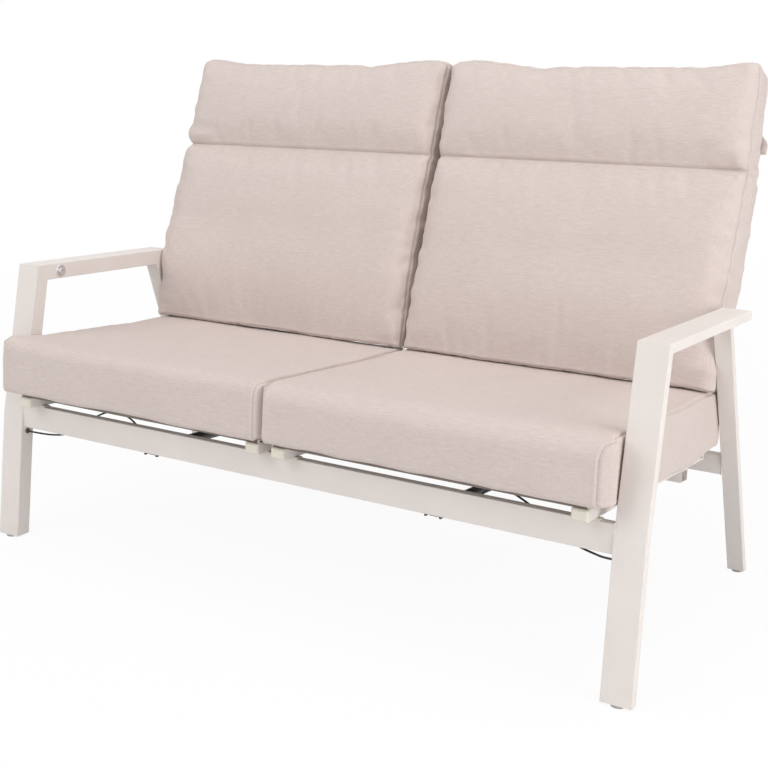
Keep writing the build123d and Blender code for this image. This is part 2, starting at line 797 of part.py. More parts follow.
def button_bar(start, end, diameter):
    """Round bar on the button's axis, between two depths inside the arm's inner face."""
    return cross_bar(inner_x + start, inner_x + end, button_point, diameter)


def housing_solid():
    """Barrel in the arm with its ring on the arm's inner face."""
    ring = button_bar(-button_ring_height, 0, button_ring_diameter)
    ring = fillet(ring.edges().group_by(Axis.X)[0], button_edge_radius)
    clearance = button_bore_clearance * 2
    solid = ring + button_bar(0, button_barrel_length, button_barrel_diameter)
    solid -= button_bar(button_ring_height, coil_end, button_flange_diameter + clearance)
    lip_start = -button_ring_height - cut_overrun
    return solid - button_bar(lip_start, button_ring_height + cut_overrun, button_diameter + clearance)


def button_solid():
    """Push button with a shallow dish in its face and a flange that keeps it in the barrel."""
    face = -button_ring_height - button_proud
    solid = button_bar(face, flange_end, button_diameter)
    solid = fillet(solid.edges().group_by(Axis.X)[0], button_edge_radius)
    solid += button_bar(flange_start, flange_end, button_flange_diameter)
    dish_middle = button_point + Vector(face + button_dish_depth - button_dish_radius, 0, 0)
    return solid - Pos(*dish_middle) * Sphere(button_dish_radius)


def coil_solid():
    """Return coil behind the button, drawn as a sleeve at its pressed length."""
    start = flange_end + button_travel
    bore = button_bar(start - cut_overrun, coil_end + cut_overrun, coil_diameter - coil_wire * 2)
    return button_bar(start, coil_end, coil_diameter) - bore


arm -= button_bar(-cut_overrun, profile_wall + cut_overrun, button_barrel_diameter)

# Release cable: inside the arm and post, out at the grommet, up behind the rail to the release head
post_lean = (knee_point.Y - foot_point.Y) / knee_height
grommet_y = foot_point.Y + post_lean * grommet_height + grommet_back_of_face
grommet_point = Vector(inner_x, grommet_y, grommet_height)


def grommet_bar(start, end, diameter):
    """Round bar through the post's inner wall at the grommet."""
    return cross_bar(inner_x + start, inner_x + end, grommet_point, diameter)


def grommet_solid():
    """Grommet in the post's inner wall, with the cable's bore."""
    solid = grommet_bar(-grommet_flange, 0, grommet_diameter)
    solid += grommet_bar(0, profile_wall, grommet_neck_diameter)
    bore_diameter = cable_diameter + grommet_clearance * 2
    return solid - grommet_bar(-grommet_flange - cut_overrun, profile_wall + cut_overrun, bore_diameter)


front_post = front_post_solid() - grommet_bar(-cut_overrun, profile_wall * 2, grommet_neck_diameter)


def cable_route():
    """Points of the cable's route, from the button's barrel to the stop on the release head."""
    end = seat_point(cable_stop_x[1], lever_tip_along, cable_up)
    start_y = button_back - button_barrel_diameter / 2 + cable_seat_depth
    points = [Vector(inner_x + profile_width * cable_upper_shares[0][0], start_y, button_z)]
    for across_share, up_share in cable_upper_shares:
        face = knee_point + (arm_corner - knee_point) * up_share
        points.append(face + Vector(inner_x + profile_width * across_share, cable_back_of_face, 0))
    for x in (inner_x + cable_turn_reach, inner_x - cable_turn_reach):
        points.append(Vector(x, grommet_y, grommet_height))
    for share, (y, z) in zip(cable_lower_shares, cable_lower_points):
        points.append(Vector(end.X + (inner_x - end.X) * share, y, z))
    return points + [end + Vector(cable_last_run, 0, 0), end]


def bend_radii(points):
    """Arc radius at each inner point, as large as its two runs allow."""
    radii = []
    for before, here, after in zip(points, points[1:], points[2:]):
        half_turn = radians((here - before).get_angle(after - here)) / 2
        shorter = min((here - before).length, (after - here).length)
        radii.append(cable_bend_share * shorter / tan(half_turn))
    return radii


def cable_solid():
    """Cable jacket as straight runs joined by tangent arcs."""
    points = cable_route()
    radii = bend_radii(points)
    path = FilletPolyline(*points, radius=radii)
    start_plane = Plane(origin=path @ 0, z_dir=path % 0)
    jacket = sweep(start_plane * Circle(cable_diameter / 2), path=path)
    print("cable radii", [round(radius, 1) for radius in radii])
    print("cable length", round(path.length, 1), "volume", round(jacket.volume, 1))
    print("section times length", round(path.length * pi * cable_diameter**2 / 4, 1))
    return jacket - button_bar(0, button_barrel_length, button_barrel_diameter)


def soft_outline(x_low, x_high, base, top, crown, radius):
    """Closed outline of a cushion: flat below, crowned above, with rounded corners and full sides."""
    low = x_low + cushion_side_bulge
    high = x_high - cushion_side_bulge
    middle_x = (low + high) / 2
    middle = (base + top) / 2
    corner = radius * (1 - 1 / sqrt(2))
    edges = [
        Line((low + radius, base), (high - radius, base)),
        ThreePointArc((high - radius, base), (high - corner, base + corner), (high, base + radius)),
        ThreePointArc((high, base + radius), (x_high, middle), (high, top - radius)),
        ThreePointArc((high, top - radius), (high - corner, top - corner), (high - radius, top)),
        ThreePointArc((high - radius, top), (middle_x, top + crown), (low + radius, top)),
        ThreePointArc((low + radius, top), (low + corner, top - corner), (low, top - radius)),
        ThreePointArc((low, top - radius), (x_low, middle), (low, base + radius)),
        ThreePointArc((low, base + radius), (low + corner, base + corner), (low + radius, base)),
    ]
    return make_face(edges)


def seat_cushion_solid():
    """Box cushion lofted from front to back, with soft ends, a crown and drawn-in sides."""
    sections = []
    for along, inset, spread, lift, drop, crown in seat_cushion_shares:
        x_low = cushion_inner_x + inset * cushion_side_inset
        x_high = cushion_outer_x + spread * seat_cushion_spread - inset * cushion_side_inset
        base = cushion_base + lift * seat_cushion_lift
        top = cushion_base + seat_cushion_height - drop * seat_cushion_drop
        outline = soft_outline(x_low, x_high, base, top, crown * seat_cushion_crown, seat_cushion_radius)
        origin = seat_point(0, along * seat_cushion_length - seat_cushion_overhang, 0)
        sections.append(Plane(origin=origin, x_dir=(1, 0, 0), z_dir=(0, -seat_cos, seat_sin)) * outline)
    return loft(sections, ruled=True)


def back_cushion_solid():
    """Back cushion lofted upward, with a seam below the head part and its bottom cut along the seat."""
    sections = []
    for up, inset, spread, front, rear, crown in back_cushion_shares:
        x_low = cushion_inner_x + inset * cushion_side_inset
        x_high = cushion_outer_x + spread * back_cushion_spread - inset * cushion_side_inset
        base = rear * back_cushion_rear_inset - back_cushion_depth
        top = -front * back_cushion_front_inset
        outline = soft_outline(x_low, x_high, base, top, crown * back_cushion_crown, back_cushion_radius)
        origin = back_point(0, 0, up * back_cushion_length)
        sections.append(Plane(origin=origin, x_dir=(1, 0, 0), z_dir=(0, -back_sin, -back_cos)) * outline)
    return loft(sections, ruled=True) - half_space(back_point(0, 0, 0), Vector(0, -seat_sin, -seat_cos))


def head_hood_solid():
    """Fabric pocket behind the head part that slips over the top of the back frame."""
    x_range = (cushion_inner_x + hood_side_inset, cushion_outer_x - hood_side_inset)
    front = back_frame_back + hood_gap
    sheet = block(back_plane, x_range, (front, front + hood_thickness), (hood_low, hood_top))
    flap_depths = (back_cushion_depth, front + hood_thickness)
    return sheet + block(back_plane, x_range, flap_depths, (hood_top - hood_thickness, hood_top))


# Nodes of the side frames and rails
keep_pair("front_post", front_post)
keep_pair("arm", arm)
keep_pair("rear_leg", rear_leg_solid())
keep("front_rail", front_rail)
keep("rear_rail", rear_rail)
front_glide = glide(foot_point, lower_direction, frame_sizes, glide_diameter_front)
rear_glide = glide(rear_leg_foot, leg_direction, leg_sizes, glide_diameter_rear)
keep_both_sides("foot_glides", front_glide, rear_glide)
keep_both_sides("arm_end_caps", arm_cap_solid())

# Nodes of the recline hinges and slides that stay on the frame
bracket = recline_bracket_solid()
keep_both_sides("recline_brackets", bracket, swapped(bracket))
keep_both_sides("bracket_screws", foot_screw(), swapped(foot_screw()))
pin = pivot_pin_solid()
keep_both_sides("pivot_pins", pin, swapped(pin))
keep_both_sides("slide_pads", slide_pad(inner_rail_x), slide_pad(outer_rail_x))

# Nodes of the gas springs, release gear and buttons
keep_both_sides("spring_brackets", spring_bracket_solid())
keep_both_sides("spring_bracket_screws", *[bracket_screw(x) for x in screw_xs])
keep_both_sides("spring_front_pins", headed_pin(spring_front_pin, cheek_outer))
keep_both_sides("spring_cylinders", cylinder_solid())
keep_both_sides("release_heads", release_head_solid())
keep_pair("release_lever", release_lever_solid())
keep_pair("release_cable", cable_solid())
keep_both_sides("cable_grommets", grommet_solid())
keep_both_sides("button_housings", housing_solid())
keep_both_sides("button_coils", coil_solid())
keep_pair("button", button_solid())

# Nodes of the two seats
cap_places = [(x_range, 0, 1) for x_range in (inner_rail_x, outer_rail_x)]
cap_places += [(x_range, side_rail_length, -1) for x_range in (inner_rail_x, outer_rail_x)]
keep_pair("seat_side_rails", side_rail(inner_rail_x), side_rail(outer_rail_x))
keep_pair("seat_rail_caps", *[rail_cap(*place) for place in cap_places])
keep_pair("seat_bars", seat_bar(seat_bar_front_inset), seat_bar(rear_bar_along))
keep_pair("spring_cross_tube", cross_tube_solid())
keep_pair("spring_rod", spring_rod_solid())
keep_pair("spring_rear_pin", headed_pin(spring_rear_pin, lug_outer))
keep_pair("seat_sling", seat_sling_solid())
keep_pair("seat_cushion", seat_cushion_solid())

# Nodes of the two backs
upright = upright_solid()
tube_ups = [upright_above * share for share in back_tube_shares] + [upright_above - back_tube_height]
plate = hinge_plate_solid()
hinge_screws = [hinge_screw(point) for point in screw_points]
keep_pair("back_uprights", upright, swapped(upright))
keep_pair("back_tubes", *[back_tube(up) for up in tube_ups])
keep_pair("hinge_plates", plate, swapped(plate))
keep_pair("hinge_bolts", *hinge_screws, *[swapped(screw) for screw in hinge_screws])
keep_pair("back_sling", back_sling_solid())
keep_pair("back_cushion", back_cushion_solid())
keep_pair("head_hood", head_hood_solid())

# The finished set is moved so that the middle of its footprint is the origin
boxes = [solid.bounding_box() for solids in nodes.values() for solid in solids]
middle_y = (min(box.min.Y for box in boxes) + max(box.max.Y for box in boxes)) / 2
move = Pos(0, -middle_y, 0)
print("moved by", -middle_y, "pivot", pivot_point, "lever", lever_foot)

os.makedirs("parts", exist_ok=True)
for name, solids in nodes.items():
    moved = [move * solid for solid in solids]
    shape = moved[0] if len(moved) == 1 else Compound(children=moved)
    shape.label = name
    export_step(shape, "parts/" + name + ".step")
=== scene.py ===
"""Looks of a two-seat patio loveseat with reclining backs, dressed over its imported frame.

Sizes are in metres in the frame's own axes: X to the right seen from the front, Y to the back, Z up.
"""
from __future__ import annotations

import logging
import math
from dataclasses import dataclass, field
from enum import Enum
from typing import Callable, Sequence

import bpy
import numpy as np
from mathutils import Matrix, Vector, noise
from mathutils.kdtree import KDTree

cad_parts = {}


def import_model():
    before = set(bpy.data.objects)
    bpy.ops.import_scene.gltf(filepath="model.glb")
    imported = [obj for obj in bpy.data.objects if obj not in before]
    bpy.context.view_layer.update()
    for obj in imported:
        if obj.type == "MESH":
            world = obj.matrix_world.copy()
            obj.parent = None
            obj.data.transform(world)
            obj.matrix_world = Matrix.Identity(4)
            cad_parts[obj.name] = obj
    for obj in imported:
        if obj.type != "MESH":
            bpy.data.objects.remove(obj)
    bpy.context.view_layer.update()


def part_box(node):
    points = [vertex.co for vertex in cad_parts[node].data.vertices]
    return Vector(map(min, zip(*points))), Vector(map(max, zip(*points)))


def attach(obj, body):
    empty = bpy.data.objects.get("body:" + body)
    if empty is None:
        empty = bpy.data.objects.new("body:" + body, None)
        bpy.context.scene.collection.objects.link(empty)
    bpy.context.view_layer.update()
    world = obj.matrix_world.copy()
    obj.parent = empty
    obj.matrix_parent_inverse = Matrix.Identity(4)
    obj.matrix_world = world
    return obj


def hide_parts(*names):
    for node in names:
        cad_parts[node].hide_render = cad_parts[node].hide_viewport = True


LOG = logging.getLogger("loveseat")
Colour = tuple[float, float, float]
Socket = bpy.types.NodeSocket
Span = tuple[float, float]
Stations = tuple[Span, ...]


class Side(Enum):
    """Half of the set that a piece belongs to."""

    RIGHT = "right"
    LEFT = "left"

    @property
    def sign(self) -> int:
        """Direction of this half along X."""
        return 1 if self is Side.RIGHT else -1

    def of(self, piece: str) -> str:
        """Name of a piece on this half."""
        return f"{piece}_{self.value}"


class WaveAxis(Enum):
    """Axis that a row of yarns steps along."""

    ACROSS = "X"
    ALONG = "Y"
    UP = "Z"


class Face(Enum):
    """Face of a boxed cover: the index of its axis, and -1 for the low end or 1 for the high end."""

    INNER = (0, -1)
    OUTER = (0, 1)
    FRONT = (1, -1)
    REAR = (1, 1)
    BASE = (2, -1)
    TOP = (2, 1)


class FinishGraph:
    """Node graph of one finish, with short calls for the nodes that the finishes share."""

    def __init__(self, name: str) -> None:
        """Start a material of that name with its shader and its place coordinates.

        Args:
            name: Name of the new material.
        """
        self.material = bpy.data.materials.new(name)
        self.material.use_nodes = True
        self.nodes = self.material.node_tree.nodes
        self.links = self.material.node_tree.links
        self.shader = self.nodes["Principled BSDF"]
        self.place = self.nodes.new("ShaderNodeTexCoord").outputs["Object"]

    def fix(self, **values: float | Colour) -> None:
        """Set constants on the shader's own sockets.

        Args:
            **values: Socket names with underscores for spaces, and their values.
        """
        for name, value in values.items():
            socket = self.shader.inputs[name.replace("_", " ")]
            socket.default_value = (*value, 1.0) if isinstance(value, tuple) else value

    def feed(self, socket_name: str, source: Socket) -> None:
        """Link a socket of the shader to a source."""
        self.links.new(source, self.shader.inputs[socket_name])

    def stretched(self, scale: Sequence[float]) -> Socket:
        """Place coordinates stretched by a scale for each axis.

        Args:
            scale: Factors for X, Y and Z.

        Returns:
            The vector to sample a texture with.
        """
        node = self.nodes.new("ShaderNodeVectorMath")
        node.operation = "MULTIPLY"
        self.links.new(self.place, node.inputs[0])
        node.inputs[1].default_value = tuple(scale)
        return node.outputs["Vector"]

    def grain(self, scale: Sequence[float] | float, detail: float = 2.0, rough: float = 0.5) -> Socket:
        """Noise between 0 and 1, with cells of about one over the scale in metres.

        Args:
            scale: One factor, or one for each axis where the grain is drawn out.
            detail: Octaves of finer noise.
            rough: Share of the finer octaves.

        Returns:
            The noise value.
        """
        node = self.nodes.new("ShaderNodeTexNoise")
        node.inputs["Detail"].default_value = detail
        node.inputs["Roughness"].default_value = rough
        if isinstance(scale, (int, float)):
            node.inputs["Scale"].default_value = scale
            self.links.new(self.place, node.inputs["Vector"])
        else:
            node.inputs["Scale"].default_value = 1.0
            self.links.new(self.stretched(scale), node.inputs["Vector"])
        return node.outputs["Fac"]

    def yarns(self, pitch: float, axis: WaveAxis, uneven: float = 0.0) -> Socket:
        """Rows of round yarns, side by side along an axis.

        Args:
            pitch: Distance from one yarn to the next.
            axis: Axis that the rows step along.
            uneven: How far the rows waver.

        Returns:
            The height of the yarns between 0 and 1.
        """
        node = self.nodes.new("ShaderNodeTexWave")
        node.wave_type = "BANDS"
        node.bands_direction = axis.value
        node.wave_profile = "SIN"
        node.inputs["Scale"].default_value = 2 * math.pi / (20 * pitch)
        node.inputs["Distortion"].default_value = uneven
        node.inputs["Detail"].default_value = 1.0
        node.inputs["Detail Scale"].default_value = 0.15
        self.links.new(self.place, node.inputs["Vector"])
        return node.outputs["Fac"]

    def sum(self, first: Socket | float, second: Socket | float, operation: str = "ADD") -> Socket:
        """Two values joined by a math operation.

        Args:
            first: First value or source.
            second: Second value or source.
            operation: Name of the math operation.

        Returns:
            The result.
        """
        node = self.nodes.new("ShaderNodeMath")
        node.operation = operation
        for socket, value in zip(node.inputs, (first, second)):
            if isinstance(value, (int, float)):
                socket.default_value = value
            else:
                self.links.new(value, socket)
        return node.outputs["Value"]

    def blend_colours(
        self, share: Socket, low: Socket | Colour, high: Socket | Colour, kind: str = "MIX"
    ) -> Socket:
        """Two colours mixed by a share.

        Args:
            share: Share of the second colour.
            low: First colour or source.
            high: Second colour or source.
            kind: How the second colour is laid over the first.

        Returns:
            The mixed colour.
        """
        node = self.nodes.new("ShaderNodeMix")
        node.data_type = "RGBA"
        node.blend_type = kind
        self.links.new(share, node.inputs["Factor"])
        for socket, value in ((node.inputs[6], low), (node.inputs[7], high)):
            if isinstance(value, tuple):
                socket.default_value = (*value, 1.0)
            else:
                self.links.new(value, socket)
        return node.outputs[2]

    def spread(self, value: Socket, low: float, high: float, out_low: float, out_high: float) -> Socket:
        """A value spread from one range to another, and held at its ends.

        Args:
            value: The value to spread.
            low: Start of the range it comes in.
            high: End of the range it comes in.
            out_low: Start of the new range.
            out_high: End of the new range.

        Returns:
            The spread value.
        """
        node = self.nodes.new("ShaderNodeMapRange")
        self.links.new(value, node.inputs["Value"])
        for name, number in zip(("From Min", "From Max", "To Min", "To Max"), (low, high, out_low, out_high)):
            node.inputs[name].default_value = number
        return node.outputs["Result"]

    def mottle(self, scale: Sequence[float] | float, detail: float, low: float, high: float) -> Socket:
        """Noise with its middle part spread between two values."""
        return self.spread(self.grain(scale, detail), 0.3, 0.7, low, high)

    def times(self, value: Socket, factor: float) -> Socket:
        """A value times a factor."""
        return self.sum(value, factor, "MULTIPLY")

    def relief(
        self, height: Socket, depth: float, strength: float = 1.0, under: Socket | None = None
    ) -> Socket:
        """Bumps of a given depth.

        Args:
            height: Height between 0 and 1.
            depth: Depth of the bumps in metres.
            strength: Share of the bumps that shows.
            under: Normal to lay the bumps over.

        Returns:
            The bumped normal.
        """
        node = self.nodes.new("ShaderNodeBump")
        node.inputs["Strength"].default_value = strength
        node.inputs["Distance"].default_value = depth
        self.links.new(height, node.inputs["Height"])
        if under is not None:
            self.links.new(under, node.inputs["Normal"])
        return node.outputs["Normal"]

    def edge_share(self, radius: float) -> Socket:
        """Share of wear along sharp edges, from a rounded normal set against the real one.

        Args:
            radius: Width of the worn edge.

        Returns:
            About 0 on flat faces and up to 1 on an edge.
        """
        rounded = self.nodes.new("ShaderNodeBevel")
        rounded.samples = 4
        rounded.inputs["Radius"].default_value = radius
        plain = self.nodes.new("ShaderNodeNewGeometry")
        dot = self.nodes.new("ShaderNodeVectorMath")
        dot.operation = "DOT_PRODUCT"
        self.links.new(rounded.outputs["Normal"], dot.inputs[0])
        self.links.new(plain.outputs["Normal"], dot.inputs[1])
        return self.spread(dot.outputs["Value"], 0.98, 0.8, 0.0, 1.0)

    def mark(self, name: str) -> Socket:
        """A value painted on the piece's points under that name."""
        node = self.nodes.new("ShaderNodeAttribute")
        node.attribute_name = name
        return node.outputs["Fac"]


def tinted(colour: Colour, factor: float) -> Colour:
    """A colour made lighter or darker by a factor."""
    return tuple(min(1.0, channel * factor) for channel in colour)


@dataclass(frozen=True)
class Finish:
    """Surface finish of a group of pieces, with the record's slot that it belongs to."""

    name: str
    slot: str
    colour: Colour
    roughness: float = 0.5

    def paint(self, graph: FinishGraph) -> None:
        """Lay this finish's nodes in a new material's graph."""
        raise NotImplementedError

    def material(self) -> bpy.types.Material:
        """The finish's material, made once and then shared.

        Returns:
            The material.
        """
        found = bpy.data.materials.get(self.name)
        if found is not None:
            return found
        graph = FinishGraph(self.name)
        graph.fix(Base_Color=self.colour, Roughness=self.roughness)
        self.paint(graph)
        graph.material.diffuse_color = (*self.colour, 1.0)
        return graph.material

    def on_node(self, node: str) -> None:
        """Give this finish to a node of the frame.

        Args:
            node: Name of the node.
        """
        piece = bpy.data.objects[node]
        for place in piece.material_slots:
            place.material = self.material()

    def on_piece(self, piece: bpy.types.Object) -> None:
        """Give this finish to a piece that the scene has built.

        Args:
            piece: The piece.
        """
        piece.data.materials.clear()
        piece.data.materials.append(self.material())


@dataclass(frozen=True)
class PowderCoat(Finish):
    """Baked fine-texture coat with faint orange peel and slightly rubbed edges."""

    peel_depth: float = 0.00005

    def paint(self, graph: FinishGraph) -> None:
        """Lay the coat's colour, peel and edge wear.

        Args:
            graph: The new material's graph.
        """
        clouds = graph.mottle(9.0, 3.0, 0.0, 1.0)
        specks = graph.mottle(1400.0, 2.0, 0.0, 1.0)
        body = graph.blend_colours(clouds, tinted(self.colour, 0.97), tinted(self.colour, 1.025))
        body = graph.blend_colours(graph.times(specks, 0.18), body, tinted(self.colour, 0.86))
        edge = graph.times(graph.edge_share(0.0012), 0.35)
        graph.feed("Base Color", graph.blend_colours(edge, body, tinted(self.colour, 1.1)))
        gloss = graph.mottle(60.0, 2.0, self.roughness - 0.05, self.roughness + 0.06)
        graph.feed("Roughness", gloss)
        peel = graph.sum(graph.grain(900.0, 2.0), graph.times(graph.grain(260.0, 1.0), 0.6))
        graph.feed("Normal", graph.relief(peel, self.peel_depth, 0.7))
        graph.fix(Specular_IOR_Level=0.42)


@dataclass(frozen=True)
class WovenCover(Finish):
    """Melange woven upholstery cloth with slub yarns, a soft sheen, and painted shade along its seam grooves."""

    pitch: float = 0.0014
    dark: Colour = (0.555, 0.471, 0.436)
    light: Colour = (0.675, 0.587, 0.549)

    def slubs(self, graph: FinishGraph) -> Socket:
        """Long thick and thin places of the yarns, most of them across the piece.

        Args:
            graph: The new material's graph.

        Returns:
            The slub value between 0 and 1.
        """
        weft = graph.grain((46.0, 680.0, 680.0), 2.0, 0.6)
        side_weft = graph.grain((680.0, 46.0, 680.0), 2.0, 0.6)
        warp = graph.grain((820.0, 820.0, 70.0), 1.0)
        joined = graph.sum(graph.times(weft, 0.52), graph.times(side_weft, 0.32))
        return graph.spread(graph.sum(joined, graph.times(warp, 0.16)), 0.36, 0.64, 0.0, 1.0)

    def paint(self, graph: FinishGraph) -> None:
        """Lay the cloth's yarn colours, weave, painted shade along the seams, and sheen.

        Args:
            graph: The new material's graph.
        """
        slubs = self.slubs(graph)
        body = graph.blend_colours(slubs, self.dark, self.light)
        flecks = graph.spread(graph.grain(1100.0, 1.0), 0.52, 0.72, 0.0, 0.22)
        body = graph.blend_colours(flecks, body, tinted(self.dark, 0.86))
        shade = graph.mottle(7.0, 2.0, 0.0, 0.12)
        body = graph.blend_colours(shade, body, tinted(self.dark, 0.95))
        # Painted shade: the cloth is darkened along each seam's groove.
        seam = graph.times(graph.mark("seam_groove_shade"), 0.42)
        graph.feed("Base Color", graph.blend_colours(seam, body, tinted(self.dark, 0.5)))
        across, up = (graph.yarns(self.pitch, axis, 0.6) for axis in (WaveAxis.ACROSS, WaveAxis.UP))
        weave = graph.sum(across, up)
        weave = graph.sum(weave, graph.yarns(self.pitch, WaveAxis.ALONG, 0.6))
        height = graph.sum(graph.times(weave, 0.33), slubs)
        graph.feed("Normal", graph.relief(height, 0.00018, 0.6))
        graph.fix(Sheen_Weight=0.10, Sheen_Roughness=0.5, Specular_IOR_Level=0.16, Sheen_Tint=(1.0, 0.94, 0.91))


@dataclass(frozen=True)
class MeshCloth(Finish):
    """Coated basket-weave mesh of the slings."""

    pitch: float = 0.0024

    def paint(self, graph: FinishGraph) -> None:
        """Lay the mesh's coated yarns, with painted shade in the holes between them.

        Args:
            graph: The new material's graph.
        """
        across = graph.yarns(self.pitch, WaveAxis.ACROSS, 0.1)
        along, up = (graph.yarns(self.pitch, axis, 0.1) for axis in (WaveAxis.ALONG, WaveAxis.UP))
        along = graph.sum(along, up, "MAXIMUM")
        high = graph.sum(across, along, "MAXIMUM")
        holes = graph.spread(high, 0.2, 0.62, 0.0, 1.0)
        tone = graph.mottle((40.0, 400.0, 400.0), 2.0, 0.0, 1.0)
        yarn = graph.blend_colours(tone, tinted(self.colour, 0.88), tinted(self.colour, 1.15))
        # Painted shade: the holes between the yarns are darkened to a quarter of the mesh's colour.
        graph.feed("Base Color", graph.blend_colours(holes, tinted(self.colour, 0.25), yarn))
        graph.feed("Normal", graph.relief(high, 0.0004, 0.8))
        graph.fix(Specular_IOR_Level=0.4, Sheen_Weight=0.05)


@dataclass(frozen=True)
class MouldedPlastic(Finish):
    """Moulded plastic with a fine spark texture and rubbed corners."""

    spark: float = 0.00006

    def paint(self, graph: FinishGraph) -> None:
        """Lay the plastic's tone, spark texture and worn edges.

        Args:
            graph: The new material's graph.
        """
        tone = graph.mottle(30.0, 3.0, 0.0, 1.0)
        body = graph.blend_colours(tone, tinted(self.colour, 0.95), tinted(self.colour, 1.04))
        edge = graph.times(graph.edge_share(0.0008), 0.4)
        graph.feed("Base Color", graph.blend_colours(edge, body, tinted(self.colour, 1.14)))
        graph.feed("Roughness", graph.mottle(200.0, 2.0, self.roughness - 0.06, self.roughness + 0.06))
        graph.feed("Normal", graph.relief(graph.grain(1600.0, 2.0), self.spark, 0.6))
        graph.fix(Specular_IOR_Level=0.45)


@dataclass(frozen=True)
class SatinBlack(Finish):
    """Black satin coat on steel, with faint dust and paler edges."""

    def paint(self, graph: FinishGraph) -> None:
        """Lay the coat's tone, dust and edge wear.

        Args:
            graph: The new material's graph.
        """
        dust = graph.spread(graph.grain(45.0, 4.0), 0.5, 0.75, 0.0, 0.25)
        body = graph.blend_colours(dust, self.colour, (0.09, 0.085, 0.08))
        edge = graph.times(graph.edge_share(0.0008), 0.5)
        graph.feed("Base Color", graph.blend_colours(edge, body, (0.12, 0.12, 0.12)))
        graph.feed("Roughness", graph.mottle(120.0, 3.0, self.roughness - 0.08, self.roughness + 0.08))
        graph.feed("Normal", graph.relief(graph.grain(700.0, 2.0), 0.00004, 0.6))
        graph.fix(Specular_IOR_Level=0.5)


@dataclass(frozen=True)
class BareMetal(Finish):
    """Plated or ground metal, with fine marks drawn along one axis."""

    marks: tuple[float, float, float] = (900.0, 900.0, 900.0)
    mark_depth: float = 0.00002
    spread: float = 0.06

    def paint(self, graph: FinishGraph) -> None:
        """Lay the metal's tone and its marks.

        Args:
            graph: The new material's graph.
        """
        drawn = graph.grain(self.marks, 3.0, 0.6)
        tone = graph.mottle(70.0, 3.0, 0.0, 1.0)
        graph.feed("Base Color", graph.blend_colours(tone, tinted(self.colour, 0.9), tinted(self.colour, 1.06)))
        low = max(0.03, self.roughness - self.spread)
        graph.feed("Roughness", graph.spread(drawn, 0.3, 0.7, low, self.roughness + self.spread))
        graph.feed("Normal", graph.relief(drawn, self.mark_depth, 0.5))
        graph.fix(Metallic=1.0)


@dataclass(frozen=True)
class RubberJacket(Finish):
    """Extruded black jacket with a dull, slightly dusty skin."""

    def paint(self, graph: FinishGraph) -> None:
        """Lay the jacket's tone and skin.

        Args:
            graph: The new material's graph.
        """
        dust = graph.spread(graph.grain(90.0, 3.0), 0.45, 0.75, 0.0, 0.3)
        graph.feed("Base Color", graph.blend_colours(dust, self.colour, (0.07, 0.068, 0.065)))
        graph.feed("Roughness", graph.mottle(300.0, 2.0, self.roughness - 0.07, self.roughness + 0.07))
        graph.feed("Normal", graph.relief(graph.grain(1200.0, 2.0), 0.00003, 0.5))


FRAME_COAT = PowderCoat("warm_white_powder_coat", "powder_coat", (0.735, 0.677, 0.642), 0.48)
CUSHION_COVER = WovenCover("beige_melange_cover", "cushion_fabric", (0.62, 0.545, 0.508), 0.92)
SLING_MESH = MeshCloth("taupe_coated_mesh", "mesh_fabric", (0.20, 0.165, 0.14), 0.6)
IVORY_PLASTIC = MouldedPlastic("ivory_moulded_plastic", "ivory_plastic", (0.70, 0.665, 0.57), 0.5)
DARK_PLASTIC = MouldedPlastic("dark_moulded_plastic", "dark_plastic", (0.10, 0.10, 0.10), 0.45)
GLIDE_PLASTIC = MouldedPlastic("pale_glide_plastic", "dark_plastic", (0.36, 0.345, 0.31), 0.5)
BLACK_COAT = SatinBlack("black_satin_coat", "black_steel", (0.028, 0.028, 0.03), 0.42)
ZINC_PLATE = BareMetal("zinc_plate", "zinc", (0.62, 0.62, 0.60), 0.36, (500.0, 500.0, 500.0))
BRIGHT_CHROME = BareMetal(
    "bright_chrome", "chrome", (0.80, 0.80, 0.82), 0.10, (900.0, 900.0, 900.0), 0.000006, 0.03
)
GROUND_ROD = BareMetal(
    "ground_rod_steel", "rod_steel", (0.70, 0.70, 0.72), 0.16, (1500.0, 40.0, 1500.0), 0.000006, 0.05
)
CABLE_JACKET = RubberJacket("black_cable_jacket", "black_rubber", (0.018, 0.018, 0.019), 0.62)


@dataclass(frozen=True)
class TiltedPlane:
    """Frame of reference of a seat or back, tilted about X, with its own depth and up directions."""

    origin_y: float
    origin_z: float
    slope_deg: float

    def matrix(self) -> Matrix:
        """The matrix from the plane's own coordinates to the frame's."""
        turn = Matrix.Rotation(-math.radians(self.slope_deg), 4, "X")
        return Matrix.Translation((0.0, self.origin_y, self.origin_z)) @ turn

    def in_frame(self, points: np.ndarray) -> tuple[np.ndarray, np.ndarray]:
        """Where points given in the plane's own coordinates lie in the frame.

        Args:
            points: Points in the plane's coordinates.

        Returns:
            Their Y and Z in the frame.
        """
        slope = math.radians(self.slope_deg)
        cos, sin = round(math.cos(slope), 5), round(math.sin(slope), 5)
        y = self.origin_y + cos * points[:, 1] + sin * points[:, 2]
        return y, self.origin_z - sin * points[:, 1] + cos * points[:, 2]


SEAT_PLANE = TiltedPlane(-0.405155, 0.319709, 5.1)
BACK_PLANE = TiltedPlane(0.094845, 0.432, 19.2)


def ease(values: np.ndarray, low: float | np.ndarray, high: float | np.ndarray) -> np.ndarray:
    """Smooth step from 0 at low to 1 at high."""
    share = np.clip((values - low) / (high - low), 0.0, 1.0)
    return share * share * (3.0 - 2.0 * share)


def fade(values: np.ndarray, low: float | np.ndarray, high: float | np.ndarray) -> np.ndarray:
    """Smooth step from 1 at low to 0 at high."""
    return 1 - ease(values, low, high)


def bell(values: np.ndarray, middle: float, width: float) -> np.ndarray:
    """Smooth bump of height 1 round a middle."""
    return np.exp(-(((values - middle) / width) ** 2))


